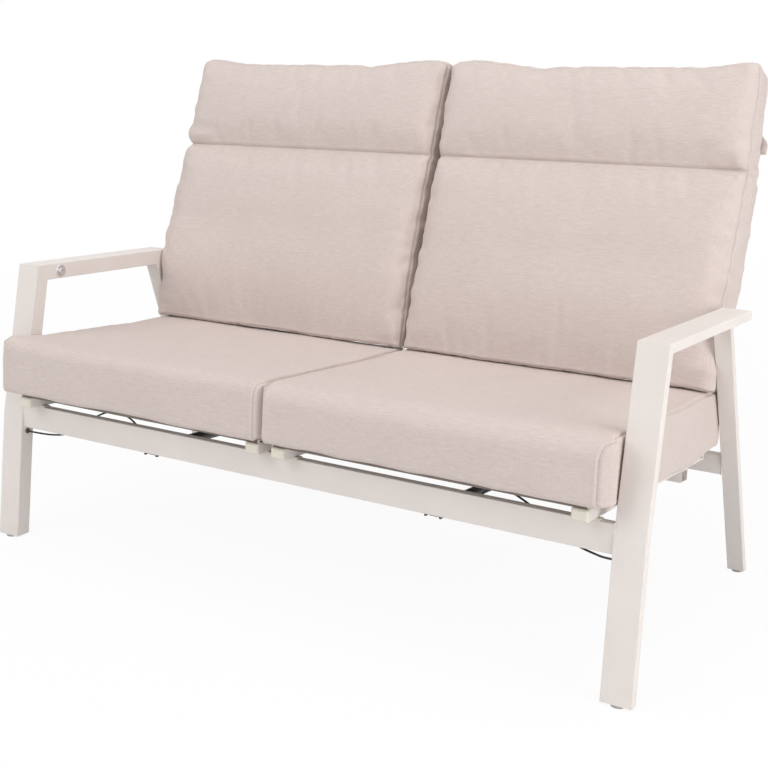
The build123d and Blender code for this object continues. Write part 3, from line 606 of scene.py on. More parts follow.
def table_curve(values: np.ndarray, stations: Stations) -> np.ndarray:
    """Smooth curve through a short table of stations.

    Args:
        values: Values to read the curve at.
        stations: Pairs of place and height, in rising order of place.

    Returns:
        The curve's height for each value.
    """
    places, heights = np.array(stations).T
    index = np.clip(np.searchsorted(places, values) - 1, 0, len(places) - 2)
    share = ease(values, places[index], places[index + 1])
    return heights[index] + (heights[index + 1] - heights[index]) * share


def new_piece(
    name: str, points: np.ndarray, faces: np.ndarray | list, place: Matrix | None = None
) -> bpy.types.Object:
    """Mesh object from points and faces, smooth shaded.

    Args:
        name: Name of the piece.
        points: Points in the piece's own coordinates.
        faces: Corner indices of each face.
        place: Place and turn of the piece.

    Returns:
        The new object, linked to the scene.
    """
    mesh = bpy.data.meshes.new(name)
    mesh.from_pydata([tuple(point) for point in points], [], [tuple(int(i) for i in face) for face in faces])
    mesh.shade_smooth()
    mesh.update()
    piece = bpy.data.objects.new(name, mesh)
    bpy.context.scene.collection.objects.link(piece)
    if place is not None:
        piece.matrix_world = place
    return piece


def read_points(mesh: bpy.types.Mesh) -> np.ndarray:
    """Points of a mesh as rows of three numbers."""
    values = np.zeros(len(mesh.vertices) * 3)
    mesh.vertices.foreach_get("co", values)
    return values.reshape(-1, 3)


def write_points(mesh: bpy.types.Mesh, points: np.ndarray) -> None:
    """Put new points in a mesh."""
    mesh.vertices.foreach_set("co", points.ravel())
    mesh.update()


def read_normals(mesh: bpy.types.Mesh) -> np.ndarray:
    """Point normals of a mesh as rows of three numbers."""
    values = np.zeros(len(mesh.vertices) * 3)
    mesh.vertex_normals.foreach_get("vector", values)
    return values.reshape(-1, 3)


def paint_mark(mesh: bpy.types.Mesh, name: str, values: np.ndarray) -> None:
    """Write a value for each point of a mesh under a name."""
    mark = mesh.attributes.get(name) or mesh.attributes.new(name, "FLOAT", "POINT")
    mark.data.foreach_set("value", values.astype(np.float32))


def read_mark(mesh: bpy.types.Mesh, name: str) -> np.ndarray:
    """Values that a mesh holds for its points under a name."""
    values = np.zeros(len(mesh.vertices), np.float32)
    mesh.attributes[name].data.foreach_get("value", values)
    return values


def settle(piece: bpy.types.Object) -> None:
    """Replace a piece's mesh by what its modifiers make of it, and drop them.

    Args:
        piece: The piece.
    """
    graph = bpy.context.evaluated_depsgraph_get()
    graph.update()
    settled = piece.evaluated_get(graph)
    made = bpy.data.meshes.new_from_object(settled, preserve_all_data_layers=True, depsgraph=graph)
    piece.modifiers.clear()
    old = piece.data
    piece.data = made
    bpy.data.meshes.remove(old)
    made.name = piece.name


@dataclass(frozen=True)
class CoverAxis:
    """Rows of a boxed cover along one axis: two rounded ends and an even run between them."""

    low: float
    high: float
    spacing: float
    round_steps: int = 5
    close_rows: tuple[tuple[float, float, float], ...] = ()

    def rows(self) -> tuple[np.ndarray, np.ndarray]:
        """Zone and run coordinate of each row.

        Returns:
            The zone, from -1 at the low end through 0 on the run to 1 at the high end, and the share of the run.
        """
        run = np.linspace(0.0, 1.0, max(2, round((self.high - self.low) / self.spacing)))
        for place, reach, gap in self.close_rows:
            share = (place - self.low) / (self.high - self.low)
            half = reach / (self.high - self.low)
            extra = share + np.linspace(-half, half, 2 * round(reach / gap) + 1)
            run = np.concatenate([run[np.abs(run - share) > half * 1.2], extra])
        run = np.sort(run)
        corner = np.arange(1, self.round_steps + 1) / self.round_steps
        zone = np.concatenate([-corner[::-1], np.zeros(len(run)), corner])
        return zone, np.concatenate([np.zeros(self.round_steps), run, np.ones(self.round_steps)])


@dataclass(frozen=True)
class CoverShape:
    """Boxed cover before it is filled.

    Each edge that isn't plain has the reach of its rounding along the axis of its first and of its second face.
    The lean is an axis, one of its ends, the axis that bends it and a share: how far a corner's seam sits off
    the corner's middle.
    """

    axes: tuple[CoverAxis, CoverAxis, CoverAxis]
    plain_radius: float
    edges: dict[tuple[Face, Face], Span]
    lean: tuple[int, int, int, float] = (0, 1, 1, 0.0)

    def reach(self, face: tuple[int, int], other: tuple[int, int]) -> float:
        """Reach of the rounding along a face's axis, at its edge with another face.

        Args:
            face: Axis and end of the face.
            other: Axis and end of the other face.

        Returns:
            The reach.
        """
        for (first, second), (along_first, along_second) in self.edges.items():
            if (first.value, second.value) == (face, other):
                return along_first
            if (second.value, first.value) == (face, other):
                return along_second
        return self.plain_radius

    def radius(self, axis: int, end: int, direction: np.ndarray) -> np.ndarray:
        """Radius along an axis at one of its ends, mixed from the two edges that meet there.

        Args:
            axis: Index of the axis.
            end: -1 for the low end or 1 for the high end.
            direction: Outward direction of each point.

        Returns:
            The radius for each point.
        """
        total = np.full(len(direction), 1e-12)
        value = total * self.plain_radius
        for other in range(3):
            if other == axis:
                continue
            weight = direction[:, other] ** 2
            low, high = (self.reach((axis, end), (other, far)) for far in (-1, 1))
            value = value + weight * np.where(direction[:, other] < 0, low, high)
            total = total + weight
        return value / total

    def surface(self) -> tuple[np.ndarray, np.ndarray, np.ndarray]:
        """Points, faces and zones of the rounded box.

        Returns:
            The points, the corner indices of the faces, and the zone of each point along each axis.
        """
        rows = [axis.rows() for axis in self.axes]
        counts = [len(zone) for zone, _ in rows]
        shell = np.zeros(counts, bool)
        for axis in range(3):
            ends = [slice(None)] * 3
            ends[axis] = [0, -1]
            shell[tuple(ends)] = True
        grid = np.full(counts, -1)
        places = np.argwhere(shell)
        grid[shell] = np.arange(len(places))
        faces = []
        for axis in range(3):
            for end in (0, -1):
                slab = np.take(grid, end, axis=axis)
                quads = np.stack([slab[:-1, :-1], slab[1:, :-1], slab[1:, 1:], slab[:-1, 1:]], -1).reshape(-1, 4)
                outward = (end == -1) != (axis == 1)
                faces.append(quads if outward else quads[:, ::-1])
        zones = np.stack([rows[axis][0][places[:, axis]] for axis in range(3)], -1)
        runs = np.stack([rows[axis][1][places[:, axis]] for axis in range(3)], -1)
        direction = zones.copy()
        leaning, end, bending, share = self.lean
        bent = share * np.abs(zones[:, bending]) * (zones[:, leaning] * end > 0)
        direction[:, leaning] *= 1 - bent
        direction /= np.linalg.norm(direction, axis=1)[:, None]
        points = np.zeros_like(zones)
        for axis, spec in enumerate(self.axes):
            low = self.radius(axis, -1, direction)
            high = self.radius(axis, 1, direction)
            run = spec.low + low + runs[:, axis] * (spec.high - spec.low - low - high)
            reach = np.where(direction[:, axis] < 0, low, high) * direction[:, axis]
            points[:, axis] = run + reach
        return points, np.concatenate(faces), zones


@dataclass(frozen=True)
class FillSettings:
    """How hard a cover is filled, and how far its cloth may move."""

    pressure: float = 3.0
    slack: float = 0.008
    frames: int = 20
    cap: float = 0.010


def fill_cover(piece: bpy.types.Object, pins: np.ndarray, fill: FillSettings) -> None:
    """Swell a cover by cloth simulation with its seams held, and keep the result.

    Args:
        piece: The cover.
        pins: Weight that holds each point, 1 on a seam.
        fill: Pressure, slack, length and cap of the filling.
    """
    group = piece.vertex_groups.new(name="held")
    for weight in (1.0, 0.5):
        chosen = [int(i) for i in np.nonzero(pins == weight)[0]]
        if chosen:
            group.add(chosen, weight, "REPLACE")
    start = read_points(piece.data)
    cloth = piece.modifiers.new("Fill", "CLOTH")
    cloth.settings.quality = 6
    cloth.settings.mass = 0.35
    cloth.settings.tension_stiffness = 18.0
    cloth.settings.compression_stiffness = 18.0
    cloth.settings.shear_stiffness = 6.0
    cloth.settings.bending_stiffness = 0.6
    cloth.settings.use_pressure = True
    cloth.settings.uniform_pressure_force = fill.pressure
    cloth.settings.shrink_min = -fill.slack
    cloth.settings.vertex_group_mass = group.name
    cloth.settings.pin_stiffness = 1.0
    cloth.settings.effector_weights.gravity = 0.0
    cloth.collision_settings.use_collision = False
    cloth.collision_settings.use_self_collision = False
    scene = bpy.context.scene
    for number in range(1, fill.frames + 1):
        scene.frame_set(number)
    graph = bpy.context.evaluated_depsgraph_get()
    swollen = read_points(piece.evaluated_get(graph).data)
    piece.modifiers.clear()
    piece.vertex_groups.clear()
    scene.frame_set(1)
    step = swollen - start
    length = np.linalg.norm(step, axis=1)
    kept = fill.cap * np.tanh(length / fill.cap)
    write_points(piece.data, start + step * (kept / np.maximum(length, 1e-9))[:, None])
    LOG.info("%s filled, most move %.1f mm", piece.name, 1000 * kept.max())


@dataclass(frozen=True)
class SeamWork:
    """Look of a cover's seams: the groove, the rolled shoulders, the puckers beside it and painted shade along the
    groove.
    """

    groove: float = 0.0018
    groove_width: float = 0.0028
    shoulder: float = 0.0008
    pucker: float = 0.0016
    pucker_pitch: float = 0.026
    pucker_reach: float = 0.016
    seed: float = 0.0

    def press(self, mesh: bpy.types.Mesh) -> None:
        """Press the seams into a mesh whose seam points carry the mark seam, and paint shade along their grooves.

        Args:
            mesh: The cover's mesh.
        """
        points = read_points(mesh)
        normals = read_normals(mesh)
        on_seam = np.nonzero(read_mark(mesh, "seam") > 0.99)[0]
        tree = KDTree(len(on_seam))
        for number, index in enumerate(on_seam):
            tree.insert(points[index], number)
        tree.balance()
        offset = Vector((self.seed * 3.1, self.seed * 1.7, self.seed * 2.3))
        pucker = [noise.noise(Vector(points[index]) / self.pucker_pitch + offset) for index in on_seam]
        coarse = [0.55 + noise.noise(Vector(points[index]) / 0.12 + offset) for index in on_seam]
        away = np.zeros(len(points))
        wave = np.zeros(len(points))
        for index, point in enumerate(points):
            _, number, distance = tree.find(point)
            away[index] = distance
            wave[index] = pucker[number] * max(0.15, coarse[number])
        step = -self.groove * np.exp(-((away / self.groove_width) ** 2))
        step += self.shoulder * np.exp(-(((away - 2.2 * self.groove_width) / self.groove_width) ** 2))
        step += 2.0 * self.pucker * wave * np.exp(-away / self.pucker_reach) * (1 - np.exp(-((away / 0.004) ** 2)))
        write_points(mesh, points + normals * step[:, None])
        # Painted shade: a thin mark along each seam's groove that darkens the cloth there.
        paint_mark(mesh, "seam_groove_shade", np.exp(-((away / 0.0011) ** 2)))


@dataclass
class BoxedCushion:
    """Foam cushion in a boxed woven cover, built on the right half's coordinates and mirrored for the left."""

    side: Side
    finish: Finish = CUSHION_COVER
    fill: FillSettings | None = None
    inner_x: float = 0.001
    outer_x: float = 0.718
    row_spacing: float = 0.0105
    round_steps: int = 6
    fill_share: float = 0.75
    gap_inside: float = 0.0007
    gap_arm: float = 0.7192

    def shape(self) -> CoverShape:
        """The cover's rounded box before any warp."""
        raise NotImplementedError

    def warp(self, points: np.ndarray) -> np.ndarray:
        """Bring the points of the rounded box to the cushion's outline."""
        raise NotImplementedError

    def seams(self, zones: np.ndarray, points: np.ndarray) -> np.ndarray:
        """1 for each point of the rounded box that lies on a seam and 0 elsewhere, from its zones and place."""
        raise NotImplementedError

    def soften(self, points: np.ndarray, normals: np.ndarray) -> np.ndarray:
        """Lay the foam's slow unevenness on the points of the filled cover, along its normals."""
        raise NotImplementedError

    def keep_clear(self, points: np.ndarray) -> np.ndarray:
        """Hold the points of the cover clear of its neighbours."""
        raise NotImplementedError

    def across(self, points: np.ndarray) -> np.ndarray:
        """Share of each point's place from the inner to the outer side."""
        return (points[:, 0] - self.inner_x) / (self.outer_x - self.inner_x)

    def sew(self, name: str, place: Matrix, seam_work: SeamWork) -> bpy.types.Object:
        """Build, fill and finish the cover.

        Args:
            name: Name of the piece.
            place: Place and turn of the cushion's plane.
            seam_work: Look of the seams.

        Returns:
            The finished piece.
        """
        flip = np.array([float(self.side.sign), 1.0, 1.0])
        box, faces, zones = self.shape().surface()
        seam = self.seams(zones, box)
        start = self.keep_clear(self.warp(box)) * flip
        if self.side is Side.LEFT:
            faces = faces[:, ::-1]
        piece = new_piece(name, start, faces, place)
        paint_mark(piece.data, "seam", seam)
        if self.fill:
            fill_cover(piece, seam, self.fill)
        fine = piece.modifiers.new("Fine", "SUBSURF")
        fine.levels = 1
        fine.render_levels = 1
        settle(piece)
        soft = self.soften(read_points(piece.data) * flip, read_normals(piece.data) * flip)
        write_points(piece.data, soft * flip)
        seam_work.press(piece.data)
        write_points(piece.data, self.keep_clear(read_points(piece.data) * flip) * flip)
        self.finish.on_piece(piece)
        return piece


@dataclass(frozen=True)
class Waves:
    """Slow unevenness of a soft surface: its height and size, what draws it out, and its own start."""

    height: float
    size: float
    squeeze: tuple[float, float, float] = (1.0, 1.0, 1.0)
    start: float = 0.0

    def at(self, points: np.ndarray, seed: float) -> np.ndarray:
        """Height of the waves at each point.

        Args:
            points: Points to read it at.
            seed: Start of the waves, one for each piece.

        Returns:
            The height at each point.
        """
        seed += self.start
        offset = Vector((seed, seed * 0.7, seed * 1.3))
        drawn = points * np.array(self.squeeze)
        return self.height * np.array([noise.noise(Vector(point) / self.size + offset) for point in drawn])


@dataclass
class SeatCushion(BoxedCushion):
    """Seat cushion whose top panel runs over its front edge, with a sewn-in side strip each side.

    Its firm foam is modelled at its full form, so the cover isn't swollen by simulation.
    """

    front: float = -0.014
    rear: float = 0.528
    base: float = 0.0334
    top: float = 0.1494
    plain_radius: float = 0.013
    strip_lean: float = 0.73
    front_spread: float = 0.015
    beside_post: Span = (0.008, 0.036)
    side_draw: float = 0.003
    crown: float = 0.004
    crown_power: float = 0.6
    front_crown: float = 0.003
    front_crown_depth: float = 0.05
    rear_lift: float = 0.0058
    under_back: Span = (0.34, 0.47)
    rear_ear: float = 0.048
    ear_across: Span = (0.89, 0.985)
    ear_along: Span = (0.6, 1.0)
    hang_height: Span = (0.0, 0.45)
    side_hang: float = 0.0125
    side_hang_x: Span = (0.690, 0.704)
    side_hang_start: Span = (0.05, 0.16)
    side_hang_end: Span = (0.40, 0.50)
    front_hang: float = 0.0055
    front_hang_depth: Span = (-0.009, -0.003)
    corner_lift: float = 0.006
    corner_across: Span = (0.90, 0.985)
    corner_depth: Span = (0.02, 0.10)
    corner_height: Span = (0.5, 0.9)
    hollows: Waves = Waves(0.0022, 0.16)
    ripples: Waves = Waves(0.0007, 0.06, (1.0, 0.6, 0.6), 5.0)
    hem: Waves = Waves(0.0022, 0.075, (1.0, 0.1, 0.1), 9.0)
    hem_height: Span = (0.036, 0.075)
    hem_depth: Span = (0.0, 0.05)
    front_room: float = 0.02
    rail_room: tuple[float, float] = (0.6885, 0.50)
    front_edge: float = -0.002
    floor_outside: float = 0.018
    floor_on_sling: float = 0.0332
    ceiling: float = 0.1595
    ceiling_drop: float = 0.0037
    ceiling_drop_along: Span = (0.42, 0.47)
    seam_fade: float = 0.85

    def shape(self) -> CoverShape:
        """The seat cover's rounded box, softer at its front corners on the right half."""
        ends = ((self.inner_x, self.outer_x), (self.front, self.rear), (self.base, self.top))
        axes = tuple(CoverAxis(low, high, self.row_spacing, self.round_steps) for low, high in ends)
        soft = self.side is Side.RIGHT
        edges = {
            (Face.FRONT, Face.TOP): (0.040, 0.040) if soft else (0.028, 0.028),
            (Face.FRONT, Face.BASE): (0.014, 0.012),
            (Face.FRONT, Face.OUTER): (0.026, 0.034) if soft else (0.013, 0.012),
            (Face.FRONT, Face.INNER): (0.009, 0.006) if soft else (0.030, 0.026),
            (Face.REAR, Face.TOP): (0.016, 0.014),
            (Face.REAR, Face.BASE): (0.050, 0.032),
            (Face.REAR, Face.OUTER): (0.013, 0.011),
            (Face.REAR, Face.INNER): (0.006, 0.005),
            (Face.OUTER, Face.TOP): (0.016, 0.015),
            (Face.OUTER, Face.BASE): (0.009, 0.008),
            (Face.INNER, Face.TOP): (0.013, 0.012),
        }
        return CoverShape(axes, self.plain_radius, edges, (0, 1 if soft else -1, 1, self.strip_lean))

    def warp(self, points: np.ndarray) -> np.ndarray:
        """Spread the front, draw in the sides, crown the top and let the lower edges hang over the rails."""
        y = points[:, 1]
        across = self.across(points)
        along = (y - self.front) / (self.rear - self.front)
        height = (points[:, 2] - self.base) / (self.top - self.base)
        spread = self.front_spread * fade(y, *self.beside_post) * across**6
        drawn = self.side_draw * np.sin(np.pi * np.clip(along, 0, 1)) * (2 * across - 1) ** 5
        middle = np.clip(4 * across * (1 - across), 0, 1)
        lift = self.crown * middle**self.crown_power * np.clip(4 * along * (1 - along), 0, 1) ** self.crown_power
        lift = np.maximum(lift, self.rear_lift * ease(y, *self.under_back)) * np.clip(height, 0, 1)
        side_hang = self.side_hang * ease(points[:, 0], *self.side_hang_x) * ease(along, *self.side_hang_start)
        side_hang = side_hang * fade(y, *self.side_hang_end)
        hang = np.maximum(side_hang, self.front_hang * fade(y, *self.front_hang_depth))
        moved = points.copy()
        moved[:, 0] += spread - drawn
        moved[:, 1] += self.rear_ear * ease(across, *self.ear_across) * ease(along, *self.ear_along)
        moved[:, 2] += lift - hang * fade(height, *self.hang_height)
        if self.side is Side.LEFT:
            corner = ease(across, *self.corner_across) * fade(y, *self.corner_depth)
            moved[:, 2] += self.corner_lift * corner * ease(height, *self.corner_height)
        bulge = middle * fade(y, self.front, self.front_crown_depth)
        moved[:, 1] -= self.front_crown * bulge * np.sin(np.pi * np.clip(height, 0, 1))
        return moved

    def seams(self, zones: np.ndarray, points: np.ndarray) -> np.ndarray:
        """The loop of each side strip."""
        side = np.abs(zones[:, 0]) == 1
        loop = (np.abs(zones[:, 1]) == 1) | (np.abs(zones[:, 2]) == 1)
        return (side & loop).astype(float)

    def soften(self, points: np.ndarray, normals: np.ndarray) -> np.ndarray:
        """Slow hollows on the top and a slightly uneven lower front edge."""
        seed = 4.0 if self.side is Side.RIGHT else 19.0
        low_front = fade(points[:, 2], *self.hem_height) * fade(points[:, 1], *self.hem_depth)
        step = self.hollows.at(points, seed) + self.ripples.at(points, seed)
        step += low_front * self.hem.at(points, seed)
        return points + normals * step[:, None]

    def keep_clear(self, points: np.ndarray) -> np.ndarray:
        """Keep off the other cushion, the arm, the sling and the back."""
        moved = points.copy()
        limit = self.gap_arm + self.front_room * fade(points[:, 1], *self.beside_post)
        moved[:, 0] = np.clip(moved[:, 0], self.gap_inside, limit)
        over_rail = (points[:, 0] > self.rail_room[0]) & (points[:, 1] < self.rail_room[1])
        floor = np.where(over_rail | (points[:, 1] < self.front_edge), self.floor_outside, self.floor_on_sling)
        ceiling = self.ceiling - self.ceiling_drop * ease(points[:, 1], *self.ceiling_drop_along)
        moved[:, 2] = np.clip(moved[:, 2], floor, ceiling)
        return moved

    def fade_side_seam_shade(self, mesh: bpy.types.Mesh) -> None:
        """Fade the painted seam shade along the top of the outer side, where the panels lie flat.

        Args:
            mesh: The cover's mesh.
        """
        points = read_points(mesh)
        hidden = ease(np.abs(points[:, 0]), 0.66, 0.70) * ease(points[:, 1], 0.02, 0.08)
        hidden = hidden * ease(points[:, 2], 0.10, 0.125)
        paint_mark(mesh, "seam_groove_shade", read_mark(mesh, "seam_groove_shade") * (1 - self.seam_fade * hidden))

    def build(self) -> None:
        """Make the seat cushion and set it on its seat."""
        seed = 1.0 if self.side is Side.RIGHT else 7.0
        piece = self.sew(self.side.of("seat_cushion_cover"), SEAT_PLANE.matrix(), SeamWork(seed=seed))
        self.fade_side_seam_shade(piece.data)
        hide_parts(self.side.of("seat_cushion"))
        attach(piece, self.side.of("seat"))
        LOG.info("%s built with %d faces", piece.name, len(piece.data.polygons))


@dataclass
class BackCushion(BoxedCushion):
    """Boxed back cushion with a puffed head part above a cross seam."""

    fill: FillSettings | None = FillSettings()
    depth: float = 0.090
    depth_spacing: float = 0.011
    base: float = 0.0005
    length: float = 0.664
    plain_radius: float = 0.010
    panel_lean: float = 0.5
    seam_up: float = 0.450
    seam_rows: Span = (0.016, 0.0028)
    seam_depth: float = 0.008
    seam_width: float = 0.010
    base_slope: float = 0.2512
    base_height: Span = (0.02, 0.16)
    front_part: Span = (0.0, 0.07)
    head_crown: float = 0.009
    head_draw: float = 0.006
    head_draw_depth: Span = (0.015, 0.09)
    head_draw_up: Span = (0.44, 0.50)
    arm_bulge: float = 0.018
    arm_bulge_across: Span = (0.60, 0.97)
    arm_bulge_up: Span = (0.155, 0.085)
    corner_lip: float = 0.016
    lip_across: Span = (0.93, 1.0)
    lip_up: Span = (0.05, 0.11)
    lip_depth: Span = (0.0, 0.03)
    right_outer_stations: Stations = (
        (-0.01, 0.0), (0.178, 0.002), (0.228, 0.004), (0.425, 0.007), (0.45, 0.004), (0.475, 0.005), (0.60, 0.003),
        (0.67, -0.003),
    )
    left_outer_stations: Stations = (
        (-0.01, 0.004), (0.06, 0.012), (0.178, 0.018), (0.228, 0.026), (0.32, 0.029), (0.425, 0.025),
        (0.45, 0.021), (0.475, 0.024), (0.64, 0.018), (0.67, 0.012),
    )
    inner_stations: Stations = (
        (-0.01, 0.001), (0.06, 0.002), (0.24, 0.008), (0.38, 0.010), (0.45, 0.012), (0.49, 0.008), (0.60, 0.006),
        (0.67, 0.003),
    )
    belly_stations: Stations = (
        (-0.01, 0.0), (0.0, 0.004), (0.05, 0.016), (0.15, 0.022), (0.28, 0.015), (0.40, 0.008), (0.45, 0.0),
        (0.67, 0.0),
    )
    hollows: Waves = Waves(0.0028, 0.17)
    ripples: Waves = Waves(0.0009, 0.055, (1.0, 0.5, 0.8), 3.0)
    folds: Waves = Waves(1.0, 0.024, (0.35, 0.9, 1.0), 11.0)
    hem: Waves = Waves(0.0022, 0.05, (1.0, 0.2, 0.2), 7.0)
    calm_rear: float = 0.35
    soft_front: Span = (0.0, 0.06)
    edge_folds: float = 0.0034
    edge_fold_width: float = 0.055
    seam_folds: float = 0.0042
    seam_fold_reach: float = 0.13
    seam_fold_up: Span = (0.472, 0.045)
    folds_end: Span = (0.56, 0.63)
    ears_up: Span = (0.58, 0.66)
    inner_ear: float = 0.013
    inner_ear_rise: Span = (-0.04, 0.07)
    inner_ear_fall: Span = (0.07, 0.30)
    outer_ear: float = 0.012
    outer_ear_rise: Span = (0.78, 1.0)
    top_dip: float = 0.0045
    top_dip_across: Span = (0.31, 0.035)
    hem_up: Span = (0.01, 0.06)
    leg_top: Span = (0.1125, 0.5)
    leg_lean: float = 0.2977
    leg_depth: float = 0.0315
    leg_reach_up: float = 0.545
    arm_end: float = 0.1399
    arm_top: Span = (0.606, 0.618)
    side_room: float = 0.034
    sling_gap: float = 0.0902
    seat_gap: float = 0.0006

    def shape(self) -> CoverShape:
        """The back cover's rounded box."""
        axes = (
            CoverAxis(self.inner_x, self.outer_x, self.row_spacing, self.round_steps),
            CoverAxis(0.0, self.depth, self.depth_spacing, self.round_steps),
            CoverAxis(self.base, self.length, self.row_spacing, self.round_steps, ((self.seam_up, *self.seam_rows),)),
        )
        edges = {
            (Face.FRONT, Face.TOP): (0.030, 0.024),
            (Face.FRONT, Face.BASE): (0.011, 0.010),
            (Face.FRONT, Face.INNER): (0.027, 0.021),
            (Face.FRONT, Face.OUTER): (0.028, 0.024),
            (Face.REAR, Face.TOP): (0.012, 0.014),
            (Face.TOP, Face.OUTER): (0.024, 0.022),
            (Face.TOP, Face.INNER): (0.020, 0.018),
            (Face.BASE, Face.OUTER): (0.011, 0.010),
            (Face.BASE, Face.INNER): (0.006, 0.006),
        }
        return CoverShape(axes, self.plain_radius, edges, (1, -1, 0, self.panel_lean))

    def warp(self, points: np.ndarray) -> np.ndarray:
        """Follow the arm at the side, slope the bottom, press the cross seam and puff the head part."""
        across = self.across(points)
        depth, up = points[:, 1], points[:, 2]
        moved = points.copy()
        right = self.side is Side.RIGHT
        outer_stations = self.right_outer_stations if right else self.left_outer_stations
        moved[:, 0] += across**3 * table_curve(up, outer_stations)
        moved[:, 0] += (0.4 if right else 0.9) * (1 - across) ** 6 * table_curve(up, self.inner_stations)
        if right:
            head_rear = ease(depth, *self.head_draw_depth) * ease(up, *self.head_draw_up)
            moved[:, 0] -= self.head_draw * across**3 * head_rear
        moved[:, 2] += self.base_slope * depth * fade(up, *self.base_height)
        middle = np.clip(4 * across * (1 - across), 0, 1)
        head_share = np.clip((up - self.seam_up) / (self.length - self.seam_up), 0, 1)
        head = np.clip(np.sin(np.pi * head_share**0.75), 0, 1) ** 0.6
        belly = (0.55 + 0.45 * middle**0.5) * table_curve(up, self.belly_stations)
        crown = belly + self.head_crown * middle**0.3 * head
        if not right:
            crown = crown + self.arm_bulge * ease(across, *self.arm_bulge_across) * bell(up, *self.arm_bulge_up)
        dent = self.seam_depth * bell(up, self.seam_up, self.seam_width)
        moved[:, 1] += fade(depth, *self.front_part) * (dent - crown)
        lip = ease(across, *self.lip_across) * fade(up, *self.lip_up) * fade(depth, *self.lip_depth)
        moved[:, 0] += self.corner_lip * lip
        return moved

    def seams(self, zones: np.ndarray, points: np.ndarray) -> np.ndarray:
        """The loops round the front and rear panels, and the cross seam."""
        panel = np.abs(zones[:, 1]) == 1
        loop = (np.abs(zones[:, 0]) == 1) | (np.abs(zones[:, 2]) == 1)
        cross = (np.abs(points[:, 2] - self.seam_up) < 0.0006) & (zones[:, 1] == -1)
        return ((panel & loop) | cross).astype(float)

    def soften(self, points: np.ndarray, normals: np.ndarray) -> np.ndarray:
        """Slow hollows on the front, ears and dips along the top edge, and a wavy lower edge."""
        seed = 31.0 if self.side is Side.RIGHT else 52.0
        up = points[:, 2]
        front = fade(points[:, 1], *self.soft_front)
        across = np.clip(self.across(points), 0, 1)
        edge = self.edge_folds * bell(np.minimum(across, 1 - across), 0.0, self.edge_fold_width)
        seam_end = self.seam_folds * bell(across, 1.0, self.seam_fold_reach) * bell(up, *self.seam_fold_up)
        step = (self.hollows.at(points, seed) + self.ripples.at(points, seed)) * (
            self.calm_rear + (1 - self.calm_rear) * front
        )
        step += self.folds.at(points, seed) * (edge + seam_end) * fade(up, *self.folds_end)
        moved = points + normals * step[:, None]
        ears = self.inner_ear * fade(across, *self.inner_ear_fall) * ease(across, *self.inner_ear_rise)
        ears = ears + self.outer_ear * ease(across, *self.outer_ear_rise) ** 1.5
        moved[:, 2] += ease(up, *self.ears_up) * (ears - self.top_dip * bell(across, *self.top_dip_across))
        moved[:, 1] -= fade(up, *self.hem_up) * front * self.hem.at(points, seed)
        return moved

    def keep_clear(self, points: np.ndarray) -> np.ndarray:
        """Keep off the other cushion, the arm, the sling behind and the seat below."""
        moved = points.copy()
        y, z = BACK_PLANE.in_frame(points)
        leg_front = self.leg_top[0] + self.leg_lean * (self.leg_top[1] - z)
        behind = np.maximum(leg_front + self.leg_depth, self.arm_end) + 0.003
        free = np.maximum(ease(z, *self.arm_top), ease(y, behind, behind + 0.012))
        before_leg = fade(y, leg_front - 0.008, leg_front - 0.0025) * (z < self.leg_reach_up)
        free = np.maximum(free, before_leg)
        moved[:, 0] = np.clip(moved[:, 0], self.gap_inside, self.gap_arm + self.side_room * free)
        moved[:, 1] = np.minimum(moved[:, 1], self.sling_gap)
        moved[:, 2] = np.maximum(moved[:, 2], self.seat_gap + self.base_slope * moved[:, 1])
        return moved

    def build(self) -> None:
        """Make the back cushion and set it on its back frame."""
        seed = 2.0 if self.side is Side.RIGHT else 11.0
        work = SeamWork(pucker=0.0014, pucker_pitch=0.027, seed=seed)
        piece = self.sew(self.side.of("back_cushion_cover"), BACK_PLANE.matrix(), work)
        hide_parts(self.side.of("back_cushion"))
        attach(piece, self.side.of("back"))
        LOG.info("%s built with %d faces", piece.name, len(piece.data.polygons))


def cloth_grid(
    name: str,
    cells: tuple[int, int],
    point: Callable[[float, float], tuple[float, float, float]],
    place: Matrix,
    thickness: float,
    side: Side,
) -> bpy.types.Object:
    """Thin sheet of cloth from a function of its two shares.

    Args:
        name: Name of the piece.
        cells: Numbers of faces along the first and the second share.
        point: Gives a point on the right half from the two shares.
        place: Place and turn of the sheet's plane.
        thickness: Thickness of the cloth.
        side: Half of the set.

    Returns:
        The sheet, with its thickness on both faces.
    """
    rows, columns = cells
    points = [point(i / rows, j / columns) for i in range(rows + 1) for j in range(columns + 1)]
    array = np.array(points) * np.array([float(side.sign), 1.0, 1.0])
    faces = []
    for i in range(rows):
        for j in range(columns):
            corner = i * (columns + 1) + j
            quad = (corner, corner + columns + 1, corner + columns + 2, corner + 1)
            faces.append(quad if side is Side.RIGHT else quad[::-1])
    piece = new_piece(name, array, faces, place)
    thick = piece.modifiers.new("Cloth", "SOLIDIFY")
    thick.thickness = thickness
    thick.offset = 0.0
    settle(piece)
    piece.data.shade_smooth()
    return piece


def smooth_share(value: float, low: float, high: float) -> float:
    """Smooth step of one number from 0 at low to 1 at high."""
    share = min(1.0, max(0.0, (value - low) / (high - low)))
    return share * share * (3 - 2 * share)


